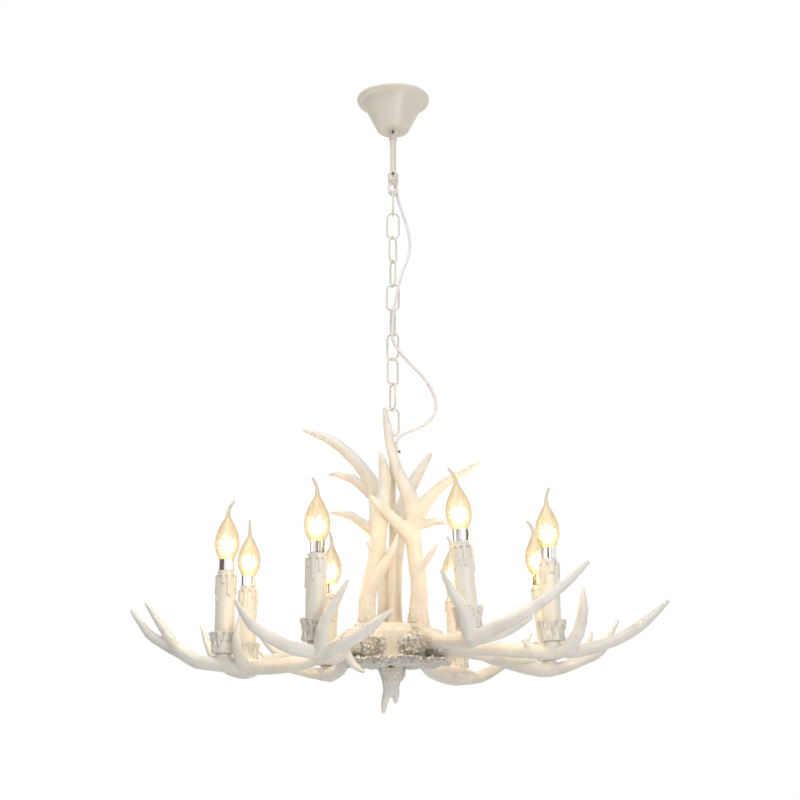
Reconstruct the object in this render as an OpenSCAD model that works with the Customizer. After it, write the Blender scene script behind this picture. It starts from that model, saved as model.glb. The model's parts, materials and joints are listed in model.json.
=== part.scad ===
// Antler chandelier with eight candle lights, a chain, a supply cord and a ceiling cup
// Millimetres, +Z up, origin on the ceiling at the middle of the fixing bracket

/* [Ceiling cup and bracket] */
// Diameter of the cup's rim
canopy_d = 119; // [100:1:140]
// Depth of the cup
canopy_h = 61; // [50:1:80]
// Diameter of the cup's flat foot
canopy_foot_d = 53; // [40:1:60]
// Thickness of the cup's sheet
canopy_wall = 1.5; // [1:0.1:2.5]
// Height of the rolled rim
canopy_lip_h = 10; // [7:0.5:14]
// How far the rim stands out past the cone
canopy_lip_w = 10; // [7:0.5:14]
// How far the cup slides down the stem
canopy_travel = 40; // [20:1:50]
// Distance between the two ceiling screws
fixing_pitch = 72; // [60:1:80]
// Diameter of the holes for the ceiling screws
fixing_hole_d = 5; // [4:0.5:6]
// Length of the bracket
bracket_l = 92; // [84:1:98]
// Width of the bracket
bracket_w = 20; // [16:1:26]
// Thickness of the bracket
bracket_t = 2.5; // [2:0.25:4]
// Drop of the bracket's middle below the ceiling
bracket_drop = 14; // [10:1:18]
// Length of the bracket's dropped middle
bracket_mid = 54; // [44:1:60]
// Width of the terminal block
block_w = 12; // [8:1:14]
// Length of the terminal block
block_l = 28; // [20:1:32]
// Height of the terminal block
block_h = 14; // [10:1:18]

/* [Stem, collar and chain] */
// Diameter of the stem and of the centre tube
stem_d = 10; // [8:0.5:12]
// Bore of the stem for the cord
stem_bore_d = 6.4; // [4.8:0.1:7]
// Distance from the ceiling to the stem's lower end
stem_end = 144; // [130:1:170]
// Across the corners of the stem's lock nuts
nut_d = 16; // [14:0.5:20]
// Thickness of the lock nuts
nut_h = 4; // [3:0.5:6]
// Diameter of the canopy collar
collar_d = 13.6; // [12.5:0.1:18]
// Height of the canopy collar
collar_h = 15; // [10:1:20]
// Diameter of the set screws
screw_d = 3; // [2.5:0.1:3.5]
// Diameter of the set screws' heads
screw_head_d = 5; // [4:0.1:6]
// How far a set screw's shank shows under its head
screw_out = 1.5; // [0.3:0.1:3]
// Diameter of the chain eye's socket
eye_socket_d = 17; // [16.5:0.1:20]
// Height of the chain eye's socket
eye_socket_h = 12; // [11:0.5:16]
// Depth that the stem enters the socket
eye_seat = 6; // [5:0.5:6.5]
// Thickness of the eye's flat tab
eye_tab_t = 4; // [3:0.1:4.5]
// Length of the eye's tab from the socket to its tip
eye_tab_l = 25; // [23:0.5:32]
// Width of the slot in the tab
eye_slot_w = 9; // [7:0.5:10]
// Length of the slot in the tab
eye_slot_l = 12; // [11:0.5:14]
// Metal left between the slot and the tab's tip
eye_rim = 7.7; // [5:0.1:9]
// Outer length of a chain link
link_l = 47; // [40:1:56]
// Outer width of a chain link
link_w = 22; // [18:1:26]
// Wire diameter of a chain link
wire_d = 3; // [2.5:0.1:3.6]
// Diameter of the supply cord
cord_d = 4.5; // [4:0.1:4.6]

/* [Hub and tube] */
// Length of the centre tube that shows between the lower eye and the hub
tube_show = 264; // [240:1:300]
// Radius of the ribbed hub drum
hub_r = 54; // [50:1:58]
// Height of the hub drum
hub_h = 51; // [46:1:56]
// Number of ribs round the drum
hub_ribs = 36; // [24:1:48]
// Depth of a rib
rib_depth = 2.4; // [1:0.1:3]
// Height of the candle level above the drum's underside
arm_level = 9; // [6:1:14]
// Radius of the bottom plate
plate_r = 78; // [66:1:82]
// Thickness of the bottom plate's rim
plate_t = 5; // [4:0.5:8]
// Drop of the plate's domed middle
plate_dome = 5; // [3:0.5:8]
// Diameter of a burr rosette on the drum
rosette_d = 33; // [26:1:34]
// Length of the finial from its burr to the longer tine's tip
finial_l = 65; // [50:1:80]
// Radius of the finial's burr
finial_r = 19; // [15:1:24]

/* [Candles] */
// Radius of the ring of candles
ring_r = 253; // [235:1:270]
// Height of the bark cup
cup_h = 30; // [24:1:36]
// Radius of the cup's foot
cup_foot_r = 18.5; // [17:0.5:21]
// Radius of the cup's flared rim
cup_rim_r = 21.5; // [20:0.5:24]
// Wall of the cup
cup_wall = 2.2; // [1.6:0.1:3]
// Thickness of the cup's floor
cup_floor = 3; // [2:0.5:4]
// Height of the candle sleeve above the cup
sleeve_show = 82; // [70:1:100]
// Outer radius of the candle sleeve
sleeve_r = 14; // [13.5:0.1:15]
// Wall of the candle sleeve
sleeve_wall = 1.6; // [1.2:0.1:1.8]
// Radius of the lampholder's rim
holder_rim_r = 12.8; // [12.5:0.1:13.4]
// Height of the lampholder's rim
holder_rim_h = 5; // [3:0.5:7]
// Length of the lampholder below its rim
holder_l = 48; // [40:1:55]
// Radius of the lampholder's bore
holder_bore_r = 7.3; // [7.2:0.05:7.6]
// Radius of the bulb's screw cap
cap_r = 6.95; // [6.8:0.05:7]
// Length of the bulb's screw cap
cap_l = 21; // [18:0.5:24]
// Radius of the bulb's bright collar
bulb_collar_r = 11; // [9:0.1:12]
// Height of the bulb's bright collar
bulb_collar_h = 16; // [12:0.5:20]
// Radius of the bulb's glass
glass_r = 17.7; // [16:0.1:18.5]
// Height of the bulb's glass without its drawn tail
glass_h = 58; // [50:1:66]
// Height of the glass's drawn tail
tail_h = 32; // [20:1:40]
// Distance that a bulb rises as it is unscrewed
bulb_travel = 20; // [10:1:24]
// Diameter of the nipple that holds a candle
nipple_d = 10; // [8:0.5:10]

/* [Fits] */
// Clearance of a sliding or turning fit on the radius
fit_gap = 0.15; // [0.1:0.05:0.3]
// Gap between pieces that rest on each other
seat_gap = 0.2; // [0.1:0.05:0.3]
// Gap between interlocked chain wires
link_gap = 0.2; // [0.15:0.05:0.4]
// Gap between the chain wire and an eye
eye_gap = 0.4; // [0.35:0.05:0.6]

/* [Hidden] */

$fn = 48;
resin = [0.93, 0.91, 0.87];
cream = [0.87, 0.85, 0.79];
steel = [0.45, 0.44, 0.42];
chrome = [0.75, 0.75, 0.76];
white = [0.95, 0.94, 0.92];
amber = [1, 0.82, 0.5, 0.5];

stem_r = stem_d / 2;
wire_r = wire_d / 2;
stem_top = bracket_drop - nut_h - 2;
eye_top_z = eye_seat - stem_end;
slot_foot = eye_socket_h + eye_tab_l - eye_rim;
chain_top_z = eye_top_z - slot_foot + eye_gap + wire_r;
link_pitch = link_l - 2 * wire_d - link_gap;
chain_end_z = chain_top_z - 9 * link_pitch - link_l + wire_d;
low_eye_z = chain_end_z - slot_foot + eye_gap + wire_r;
hub_top_z = low_eye_z - tube_show;
hub_foot_z = hub_top_z - hub_h;
arm_z = hub_foot_z + arm_level;
plate_z = hub_foot_z - seat_gap;
plate_foot_z = plate_z - plate_t - plate_dome;
finial_z = plate_foot_z - seat_gap;
tube_end_z = plate_foot_z - nut_h - 2;
tube_top_z = low_eye_z + eye_seat;
sleeve_top = cup_h + sleeve_show;
rim_top = sleeve_top + seat_gap + holder_rim_h;

// Turn of each link about the chain's axis, 0 where its face is towards the front
link_turn = [90, 0, 55, 115, 180, 250, 335, 395, 475, 545];

// Place of the cord's hole across the tab of an eye and along it
cord_hole = [3, 5];

// Route of the supply cord from the upper eye to the lower eye
cord_route = [[3, 5, -144.6], [3, 5, -150], [4.5, 5, -160], [7, 4.5, -174], [12, 4, -194],
    [19.5, 4, -217], [25.5, 2, -243], [27, 0, -265], [24, -2, -283], [16, -7, -307],
    [9.5, -11, -332], [5, -14, -357], [1, -16, -378], [0, -17, -398], [-1, -17, -418],
    [2.5, -17, -432], [13, -16, -448], [30, -13, -467], [48, -11, -486], [60, -9, -505],
    [66.5, -7, -523], [66, -6, -539], [59, -6, -552], [48, -6, -561], [36, -6, -567],
    [22, -5, -572], [12, -4, -578], [6.5, -3, -586.5], [5, -3, -593], [5, -3, -597.6]];

// Candles: azimuth, radius beyond the ring, height of the cup's foot, lean to the right
candles = [[-113.5, 0, -5, 0], [-66, 1, 11, -4.5], [-23, -6, 9, -1], [21.5, 7, 0, -5.5],
    [65.5, 2, -2, -2.5], [115, 3, 4, 1.5], [157, -7, -3, 0], [202, 4, -8, 0]];

// Turn of each bulb's drawn tail about its candle: 0 leans to the left, 90 to the front
tail_turn = [40, 0, 120, 0, -60, 60, 90, 180];

// The arms' points are drawn for a ring of 253 mm and grow with it
arm_scale = ring_r / 253;
// Radius of the seat boss under a cup and its height over the beam
boss_r = 11;
boss_h = 5;
// Beam radius under a seat
beam_r = 10.5;
// How far an arm's root stays below the drum's top, and how far it comes out past the drum's side
root_drop = 3;
root_out = 12;

// Foot of each arm on the drum: azimuth, height over the arm level, radius of the beam
arm_feet = [[-143, 6, 11.5], [-40, 14, 10.5], [-13, 6, 11.5], [14, 8, 11.5],
    [62, 4, 11], [137, 6, 11], [163.5, 7, 11.5], [190, 6, 11.5]];

// Inner part of each beam between the hub and the seat: x, y, height, radius
arm_inner = [
    [[-77, -130, -15, 11], [-90, -195, -20, 10.5]],
    [[77, -130, 6, 10], [96, -190, 0, 10.5]],
    [[126, -52, 4, 10.5], [180, -76, -2, 10.5]],
    [[121, 48, 10, 11], [156, 64, 1, 11.5], [200, 80, -10, 11.5]],
    [[64, 122, -16, 11.5], [98, 184, -21, 11.5]],
    [[-84, 130, -11, 11], [-100, 190, -14, 11.5]],
    [[-140, 50, 4, 11], [-196, 82, -6, 11]],
    [[-133, -48, -17, 11.5], [-190, -76, -25, 11.5]]];

// Outer part of each beam beyond the seat
arm_outer = [
    [[-97, -250, -21, 10]],
    [[108, -252, -4, 10]],
    [[255, -112, -2, 9.5]],
    [[291, 106, 0, 9], [326, 113, 18, 7.5], [355, 120, 65, 2.5]],
    [[144, 262, -12, 10], [183, 290, 10, 8.5], [215, 305, 34, 6], [235, 310, 65, 2.5]],
    [[-150, 262, -2, 9.5], [-183, 285, 19, 8], [-223, 300, 58, 5.5], [-244, 305, 88, 2.5]],
    [[-262, 118, -7, 9.5], [-287, 140, 17, 7.5], [-307, 160, 62, 2.5]],
    [[-256, -100, -22, 10.5], [-278, -99, -18, 10.5], [-304, -94, -2, 8.5], [-327, -83, 28, 7],
        [-358, -60, 68, 2.5]]];

// Tines of each arm
arm_tines = [
    [[[-95, -240, -20, 10], [-124, -262, -18, 9], [-146, -273, -10, 8.5], [-180, -286, 10, 7],
            [-202, -292, 42, 2.5]],
        [[-93, -246, -20, 9.5], [-90, -266, 7, 8.5], [-75, -272, 38, 6.5], [-57, -270, 71, 2.5]],
        [[-92, -244, -21, 9.5], [-60, -262, -12, 8.5], [-28, -275, 8, 7], [2, -280, 32, 2.5]],
        [[-70, -72, 0, 8], [-56, -67, -20, 6], [-41, -67, -31, 3.5]]],
    [[[103, -252, -3, 10], [98, -267, 25, 8.5], [80, -277, 54, 6.5], [65, -279, 84, 2.5]],
        [[107, -250, -5, 10], [131, -264, 7, 9.5], [160, -275, 19, 8.5], [197, -280, 42, 7.5],
            [235, -275, 72, 6], [260, -265, 96, 3]],
        [[112, -240, -5, 7], [144, -240, 3, 6.5], [168, -234, 15, 5], [188, -235, 27, 2]]],
    [[[247, -108, -4, 10], [261, -127, 18, 9], [268, -132, 48, 7], [269, -132, 81, 2.5]],
        [[245, -103, -7, 10], [294, -100, 2, 9], [339, -85, 22, 8], [372, -65, 45, 6.5], [406, -40, 74, 3]],
        [[205, -86, -2, 7], [184, -92, 12, 2]]],
    [[[300, 108, 4, 6], [307, 111, 24, 4.5], [311, 112, 46, 2]],
        [[110, 30, 6, 8], [160, 38, -4, 6.5], [193, 48, -7, 4.5], [220, 56, -4, 2]]],
    [[[66, 118, -14, 8], [98, 158, -9, 6.5], [131, 178, -12, 2.5]]],
    [[[-140, 255, -6, 8], [-190, 245, 6, 6.5], [-225, 232, 30, 2.5]]],
    [[[-236, 102, -15, 8.5], [-256, 150, 2, 7], [-264, 192, 40, 2.5]]],
    [[[-298, -96, -7, 9], [-340, -74, 15, 7.5], [-360, -57, 33, 6], [-383, -40, 60, 2.5]],
        [[-208, -92, -25, 10], [-215, -113, -10, 8], [-218, -122, 12, 6], [-214, -120, 42, 2.5]]]];

// Height of the drum's top in the upright antlers' lists
list_top = 42;

// Trunks of the upright antlers from the hub to the tip
upper_trunks = [
    [[38, -22, 36, 18.5], [38.5, -23, 58, 14.5], [39.5, -25, 82, 13], [39.5, -27, 107, 12.5],
        [35, -29, 131, 11.5], [32, -32, 156, 11.5], [30, -33, 181, 12], [31, -34, 206, 13.5],
        [26, -34, 231, 12.5], [14, -31, 257, 9.5], [4, -28, 284, 8],
        [-3, -26, 310, 7.5], [-8, -25, 342, 6.5], [-12, -25, 372, 2.5]],
    [[-37, -22, 36, 17], [-37, -24, 56, 13.5], [-36.5, -26, 80, 12.5], [-32.5, -29, 102, 12],
        [-25, -31, 131, 12], [-21.5, -33, 160, 12], [-17, -33, 197, 12], [-13, -26, 238, 11],
        [-12, -20, 268, 9], [-15, -19, 288, 6.5], [-20, -18, 306, 2.5]],
    [[-13, 28, 36, 13], [-12, 28, 58, 11], [-12, 30, 91, 10.5], [-15, 34, 132, 10.5], [-21, 40, 171, 11],
        [-24, 46, 211, 12], [-28, 54, 258, 11.5], [-46, 66, 294, 10.5], [-76, 80, 329, 9.5],
        [-108, 90, 353, 7], [-144, 98, 367, 2.5]],
    [[7, 45, 36, 12], [6, 45, 58, 9.5], [5, 46, 91, 9], [6, 50, 132, 9], [9, 53, 171, 9.5],
        [12, 56, 218, 10.5], [18, 60, 243, 10.5], [29, 64, 268, 10], [46, 68, 299, 7.5], [60, 70, 321, 3.5]]];

// Tines of the upright antlers
upper_tines = [
    [[[30, -35, 188, 11.5], [43, -42, 210, 11], [58, -50, 230, 9.5], [82, -60, 249, 7], [106, -68, 262, 5],
            [130, -75, 274, 2]],
        [[32, -36, 184, 7.5], [62, -47, 191, 5.5], [81, -55, 186, 2.5]],
        [[37, -32, 116, 6.5], [56, -50, 140, 4.5], [67, -60, 155, 2]],
        [[31, -34, 163, 11.5], [22, -36, 175, 11], [5, -44, 192, 9.5], [-10, -52, 206, 8], [-23, -59, 217, 6],
            [-33, -63, 227, 3]]],
    [[[-33, -32, 88, 9.5], [-15, -48, 122, 8.5], [0, -55, 144, 6.5], [7, -58, 168, 2.5]],
        [[-26, -36, 146, 6], [-38, -44, 160, 2]]],
    [[[-22, 54, 240, 8.5], [-64, 72, 282, 7], [-102, 85, 292, 2.5]],
        [[-21, 43, 184, 8.5], [-64, 62, 220, 7], [-99, 72, 227, 2.5]]],
    []];

function lean_of(i) = candles[i][3];
function seat_r(i) = ring_r + candles[i][1];
function seat(i) = [seat_r(i) * cos(candles[i][0]), seat_r(i) * sin(candles[i][0]), arm_z + candles[i][2]];
function beam_z(foot) = arm_z + foot[1];
function root_z(foot) = hub_top_z - foot[2] - root_drop;
function on_arm(p) = [p[0] * arm_scale, p[1] * arm_scale, p[2] + arm_z, p[3]];
function on_hub(p) = [p[0], p[1], p[2] - list_top + hub_top_z, p[3]];
function round_hub(r, foot, z) = [r * cos(foot[0]), r * sin(foot[0]), z, foot[2]];
function under_seat(i) = [seat(i)[0], seat(i)[1], seat(i)[2] - boss_h - beam_r, beam_r];

function unit(v) = v / norm(v);
function place(p) = [p[0], p[1], p[2]];
function curve(a, b, c, d, t) =
    (2 * b + (c - a) * t + (2 * a - 5 * b + 4 * c - d) * t * t + (3 * b - a - 3 * c + d) * t * t * t) / 2;
function smooth(p, n) = let (last = len(p) - 1)
    [for (i = [0 : last - 1], j = [0 : n - 1])
        curve(p[max(i - 1, 0)], p[i], p[i + 1], p[min(i + 2, last)], j / n), p[last]];
function headings(p) = let (last = len(p) - 1)
    [for (i = [0 : last]) unit(place(p[min(i + 1, last)]) - place(p[max(i - 1, 0)]))];
function first_side(t) = unit(cross(t, abs(t[2]) < 0.9 ? [0, 0, 1] : [1, 0, 0]));
function sides(t) =
    [for (i = 0, n = first_side(t[0]); i < len(t);
        i = i + 1, n = i < len(t) ? unit(n - (n * t[i]) * t[i]) : n) n];
function ring(c, r, n, b, count) =
    [for (k = [0 : count - 1]) c + r * (n * cos(360 * k / count) + b * sin(360 * k / count))];
function rings(p, count) = let (t = headings(p), n = sides(t))
    [for (i = [0 : len(p) - 1]) ring(place(p[i]), p[i][3], n[i], cross(t[i], n[i]), count)];

// One tapered tine, swept along a smooth curve and closed with a blunt point
module tine(route, steps = 3) {
    p = smooth(route, steps);
    r = rings(p, 8);
    last = len(p) - 1;
    tip = place(p[last]) + headings(p)[last] * p[last][3];
    for (i = [0 : last - 1])
        hull() polyhedron(points = concat(r[i], r[i + 1]),
            faces = [[for (k = [0 : 7]) k], [for (k = [8 : 15]) k]]);
    hull() polyhedron(points = concat(r[last], [tip]), faces = [[for (k = [0 : 7]) k], [0, 1, 8]]);
}

module at_candle(i) {
    translate(seat(i)) rotate([0, lean_of(i), 0]) children();
}

module ceiling_bracket() {
    color(chrome) difference() {
        union() {
            bracket_wing();
            mirror([1, 0, 0]) bracket_wing();
            translate([-bracket_mid / 2, -bracket_w / 2, -bracket_drop])
                cube([bracket_mid, bracket_w, bracket_t]);
        }
        translate([0, 0, -bracket_drop - 1]) cylinder(r = stem_r + fit_gap, h = bracket_t + 2);
        for (s = [-1, 1])
            translate([s * fixing_pitch / 2, 0, -bracket_t - 1]) cylinder(d = fixing_hole_d, h = bracket_t + 2);
    }
}

// One end of the bracket, from its dropped middle up to the ceiling
module bracket_wing() {
    inner = bracket_mid / 2 - bracket_t;
    rotate([90, 0, 0]) translate([0, 0, -bracket_w / 2]) linear_extrude(bracket_w)
        polygon([[inner, -bracket_drop], [inner + bracket_t, -bracket_drop], [inner + bracket_t, -bracket_t],
            [bracket_l / 2, -bracket_t], [bracket_l / 2, 0], [inner, 0]]);
}

module lock_nut(bore_r) {
    difference() {
        cylinder(d = nut_d, h = nut_h, $fn = 6);
        translate([0, 0, -1]) cylinder(r = bore_r, h = nut_h + 2);
    }
}

module stem_nuts() {
    color(chrome) {
        translate([0, 0, -bracket_drop + bracket_t + seat_gap]) lock_nut(stem_r + fit_gap);
        translate([0, 0, -bracket_drop - nut_h - seat_gap]) lock_nut(stem_r + fit_gap);
    }
}

module stem_tube() {
    color(cream) difference() {
        translate([0, 0, -stem_end]) cylinder(r = stem_r, h = stem_end - stem_top);
        translate([0, 0, -stem_end - 1]) cylinder(d = stem_bore_d, h = stem_end + 2);
    }
}

// Middle of the terminal block, beside the stem's nuts and under the bracket
block_x = nut_d / 2 + 2 + block_w / 2;
// Bore of its wire holes and of its screw holes
wire_hole_d = 4;

module terminal_block() {
    color(white) difference() {
        translate([block_x - block_w / 2, -block_l / 2, -bracket_drop - seat_gap - block_h])
            cube([block_w, block_l, block_h]);
        for (s = [-1, 0, 1]) {
            translate([block_x - block_w, s * block_l / 3, -bracket_drop - block_h * 0.6])
                rotate([0, 90, 0]) cylinder(d = wire_hole_d, h = 2 * block_w);
            translate([block_x, s * block_l / 3, -bracket_drop - block_h - 1])
                cylinder(d = wire_hole_d, h = block_h * 0.35);
        }
    }
}

module terminal_screws() {
    color(chrome) for (s = [-1, 0, 1])
        translate([block_x, s * block_l / 3, -bracket_drop - block_h - seat_gap])
            cylinder(d = wire_hole_d - 2 * seat_gap, h = block_h * 0.25);
}

// Chain eye with its socket up: the stem enters at the top and a chain link hangs in the slot
module chain_eye(side) {
    foot_r = eye_socket_d / 2;
    slot_r = eye_slot_w / 2;
    tab_end = eye_socket_h + eye_tab_l;
    slot_end = tab_end - eye_rim;
    difference() {
        union() {
            translate([0, 0, -eye_socket_h]) cylinder(r = foot_r, h = eye_socket_h);
            translate([-foot_r, -eye_tab_t / 2, -tab_end + foot_r])
                cube([2 * foot_r, eye_tab_t, eye_tab_l - foot_r + 1]);
            translate([0, eye_tab_t / 2, -tab_end + foot_r]) rotate([90, 0, 0])
                cylinder(r = foot_r, h = eye_tab_t);
        }
        translate([0, 0, -eye_seat]) cylinder(r = stem_r + fit_gap / 3, h = eye_seat + 1);
        for (z = [slot_end - slot_r, slot_end - eye_slot_l + slot_r])
            translate([0, eye_tab_t, -z]) rotate([90, 0, 0]) cylinder(r = slot_r, h = 2 * eye_tab_t);
        translate([-slot_r, -eye_tab_t, -slot_end + slot_r])
            cube([2 * slot_r, 2 * eye_tab_t, eye_slot_l - 2 * slot_r]);
        translate([cord_hole[0], side * cord_hole[1], -eye_socket_h - 1])
            cylinder(d = cord_d + 0.5, h = eye_socket_h - eye_seat + 1.5);
        translate([0, 0, -eye_seat / 2]) rotate([90, 0, 0])
            cylinder(d = screw_d + 2 * fit_gap, h = foot_r + 1);
    }
}

// Set screw with a slotted pan head, its point against the stem and its head out of a wall of radius r
module set_screw(r) {
    head = r + screw_out;
    head_h = 2;
    slot = 0.8;
    rotate([90, 0, 0]) {
        translate([0, 0, stem_r + seat_gap]) cylinder(d = screw_d, h = head - stem_r);
        difference() {
            translate([0, 0, head]) cylinder(d = screw_head_d, h = head_h);
            translate([-screw_head_d, -slot / 2, head + head_h - slot]) cube([2 * screw_head_d, slot, head_h]);
        }
    }
}

module upper_chain_eye() {
    color(cream) translate([0, 0, eye_top_z]) chain_eye(1);
}

module upper_eye_screw() {
    color(steel) translate([0, 0, eye_top_z - eye_seat / 2]) set_screw(eye_socket_d / 2);
}

// Points round an arc in a profile
function turned(r, a) = [r * cos(a), r * sin(a)];
function arc(x, y, r, from, to, n) = [for (k = [0 : n]) [x, y] + turned(r, from + (to - from) * k / n)];

module canopy() {
    rim_r = canopy_d / 2;
    neck_r = rim_r - canopy_lip_w;
    foot_r = canopy_foot_d / 2;
    edge = canopy_lip_h / 2;
    corner = 4;
    t = canopy_wall;
    bore = stem_r + 2 * fit_gap;
    color(cream) translate([0, 0, -seat_gap]) rotate_extrude($fn = 96)
        polygon(concat(arc(rim_r - edge, -edge, edge, 90, -90, 10), [[neck_r, -2 * edge - 2]],
            arc(foot_r - corner, corner - canopy_h, corner, -20, -90, 5),
            [[bore, -canopy_h], [bore, t - canopy_h]],
            arc(foot_r - corner, corner - canopy_h, corner - t, -90, -20, 4),
            [[neck_r - t, t - 2 * edge - 3]],
            arc(rim_r - edge, -edge, edge - t, -90, 90, 8), [[rim_r - edge, 0]]));
}

module canopy_collar() {
    top = -canopy_h - 2 * seat_gap;
    color(cream) difference() {
        translate([0, 0, top - collar_h]) cylinder(d = collar_d, h = collar_h);
        translate([0, 0, top - collar_h - 1]) cylinder(r = stem_r + fit_gap, h = collar_h + 2);
        translate([0, 0, top - collar_h / 3]) rotate([90, 0, 0])
            cylinder(d = screw_d + 2 * fit_gap, h = collar_d);
    }
}

module collar_screw() {
    color(steel) translate([0, 0, -canopy_h - 2 * seat_gap - collar_h / 3]) set_screw(collar_d / 2);
}

// Oblong link of round wire, its top wire's centre at the origin and its face towards the front
module chain_link() {
    bow_r = link_w / 2 - wire_r;
    straight = link_l - link_w;
    translate([0, 0, -bow_r]) {
        rotate([90, 0, 0]) rotate_extrude(angle = 180) translate([bow_r, 0]) circle(r = wire_r, $fn = 24);
        for (s = [-1, 1])
            translate([s * bow_r, 0, -straight]) cylinder(r = wire_r, h = straight, $fn = 24);
        translate([0, 0, -straight]) rotate([-90, 0, 0])
            rotate_extrude(angle = 180) translate([bow_r, 0]) circle(r = wire_r, $fn = 24);
    }
}

module hung_link(k) {
    color(cream) translate([0, 0, chain_top_z - k * link_pitch]) rotate([0, 0, link_turn[k]]) chain_link();
}

module supply_cord() {
    p = smooth([for (q = cord_route) [q[0], q[1], q[2], cord_d / 2]], 2);
    r = rings(p, 8);
    last = len(p) - 1;
    color(white) polyhedron(
        points = [for (a = r) for (q = a) q],
        faces = concat([[for (k = [0 : 7]) k]], [[for (k = [7 : -1 : 0]) 8 * last + k]],
            [for (i = [0 : last - 1], k = [0 : 7]) [8 * i + k, 8 * (i + 1) + k, 8 * i + (k + 1) % 8]],
            [for (i = [0 : last - 1], k = [0 : 7])
                [8 * i + (k + 1) % 8, 8 * (i + 1) + k, 8 * (i + 1) + (k + 1) % 8]]));
}

module lower_chain_eye() {
    color(cream) translate([0, 0, low_eye_z]) rotate([0, 0, -90]) rotate([180, 0, 0]) chain_eye(-1);
}

module lower_eye_screw() {
    color(steel) translate([0, 0, low_eye_z + eye_seat / 2]) rotate([0, 0, 90]) set_screw(eye_socket_d / 2);
}

module centre_tube() {
    color(cream) difference() {
        translate([0, 0, tube_end_z]) cylinder(r = stem_r, h = tube_top_z - tube_end_z);
        translate([0, 0, tube_end_z - 1]) cylinder(d = stem_bore_d, h = tube_top_z - tube_end_z + 2);
    }
}

// Ribbed outline of the drum
function rib_outline(r) = [for (a = [0 : 180 / hub_ribs : 359.9])
    (r - rib_depth * (1 - cos(hub_ribs * a)) / 2) * [cos(a), sin(a)]];

// Azimuths of the cut burrs that show on the drum's side, their tilt and their rise over its foot
rosette_turns = [-115, -66, 98];
rosette_tilt = 122;
rosette_rise = 6;

module hub_core() {
    shoulder = 12;
    valley_r = hub_r - rib_depth;
    color(resin) difference() {
        union() {
            translate([0, 0, hub_foot_z]) linear_extrude(hub_h - shoulder) polygon(rib_outline(hub_r));
            translate([0, 0, hub_top_z - shoulder - 1])
                cylinder(r1 = valley_r - 1, r2 = valley_r - 5, h = shoulder + 1, $fn = 72);
            for (a = rosette_turns)
                rotate([0, 0, a]) translate([0.93 * hub_r, 0, hub_foot_z + rosette_d / 2 + rosette_rise])
                    rotate([0, rosette_tilt, 0]) rosette();
        }
        translate([0, 0, hub_foot_z - 1]) cylinder(r = stem_r + fit_gap, h = hub_h + 2);
    }
}

// Cut end of an antler: a flared burr with a hollow, lobed face
module rosette() {
    root = 8;
    rim = 6;
    lobe = 1.5;
    translate([0, 0, -root]) cylinder(d1 = rosette_d * 0.7, d2 = rosette_d * 0.8, h = root + rim);
    difference() {
        translate([0, 0, rim]) linear_extrude(rim)
            polygon([for (a = [0 : 15 : 345]) (rosette_d / 2 - (a % 30 == 0 ? lobe : 0)) * [cos(a), sin(a)]]);
        translate([0, 0, 1.5 * rim]) cylinder(r1 = rosette_d / 6, r2 = rosette_d / 3, h = rim / 2 + 0.1);
    }
}

// Uneven bark edge of the bottom plate
function bark_outline(r) =
    [for (a = [0 : 5 : 355]) (r + 1.6 * sin(7 * a) + 1.2 * sin(13 * a + 40)) * [cos(a), sin(a)]];

module bottom_plate() {
    color(resin) difference() {
        union() {
            translate([0, 0, plate_z - plate_t]) linear_extrude(plate_t) polygon(bark_outline(plate_r));
            translate([0, 0, plate_foot_z]) cylinder(r1 = plate_r * 0.4, r2 = plate_r * 0.86, h = plate_dome);
        }
        translate([0, 0, plate_foot_z - 1]) cylinder(r = stem_r + fit_gap, h = plate_t + plate_dome + 2);
    }
}

module bottom_nut() {
    color(chrome) translate([0, 0, plate_foot_z - nut_h - seat_gap]) lock_nut(stem_r + fit_gap);
}

module finial() {
    burr_r = finial_r;
    waist = finial_l * 0.5;
    tine_z = finial_z - waist + 12;
    color(resin) difference() {
        union() {
            tine([[0, 0, finial_z, burr_r], [0, 0, finial_z - waist * 0.28, burr_r * 1.05],
                [-1, 0, finial_z - waist * 0.62, burr_r * 0.75], [-2, 0, finial_z - waist, burr_r * 0.62]]);
            tine([[-5, 0, tine_z, 7], [-10, 0, tine_z - 24, 5.5], [-13, 0, finial_z - finial_l, 2.5]]);
            tine([[3, 0, tine_z, 7], [5, 0, tine_z - 20, 5], [5, 0, finial_z - finial_l * 0.78, 2.5]]);
        }
        translate([0, 0, finial_z]) cylinder(r = 2 * burr_r, h = burr_r);
        translate([0, 0, finial_z - nut_h - 4]) cylinder(r = nut_d / 2 + 0.5, h = nut_h + 5);
    }
}

// Arm antler: a beam from the hub past its candle, its tines and the boss under the cup
module arm_antler(i) {
    foot = arm_feet[i];
    neck = round_hub(plate_r + 8, foot, beam_z(foot));
    beam = concat([round_hub(hub_r - root_out / 2, foot, beam_z(foot)), neck],
        [for (p = arm_inner[i]) on_arm(p)], [under_seat(i)], [for (p = arm_outer[i]) on_arm(p)]);
    color(resin) difference() {
        union() {
            tine(beam);
            tine([round_hub(hub_r - root_out / 2, foot, root_z(foot)),
                round_hub(hub_r + root_out, foot, root_z(foot) - root_drop), neck], 2);
            for (t = arm_tines[i])
                tine([for (p = t) on_arm(p)], 2);
            at_candle(i) translate([0, 0, -boss_h - beam_r])
                cylinder(r = boss_r, h = boss_h + beam_r - seat_gap, $fn = 16);
        }
        translate([0, 0, hub_foot_z - hub_h / 2]) cylinder(r = hub_r + seat_gap, h = 2 * hub_h, $fn = 72);
        at_candle(i) translate([0, 0, -seat_gap]) cylinder(r = cup_rim_r + seat_gap, h = 2 * cup_h);
    }
}

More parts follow.
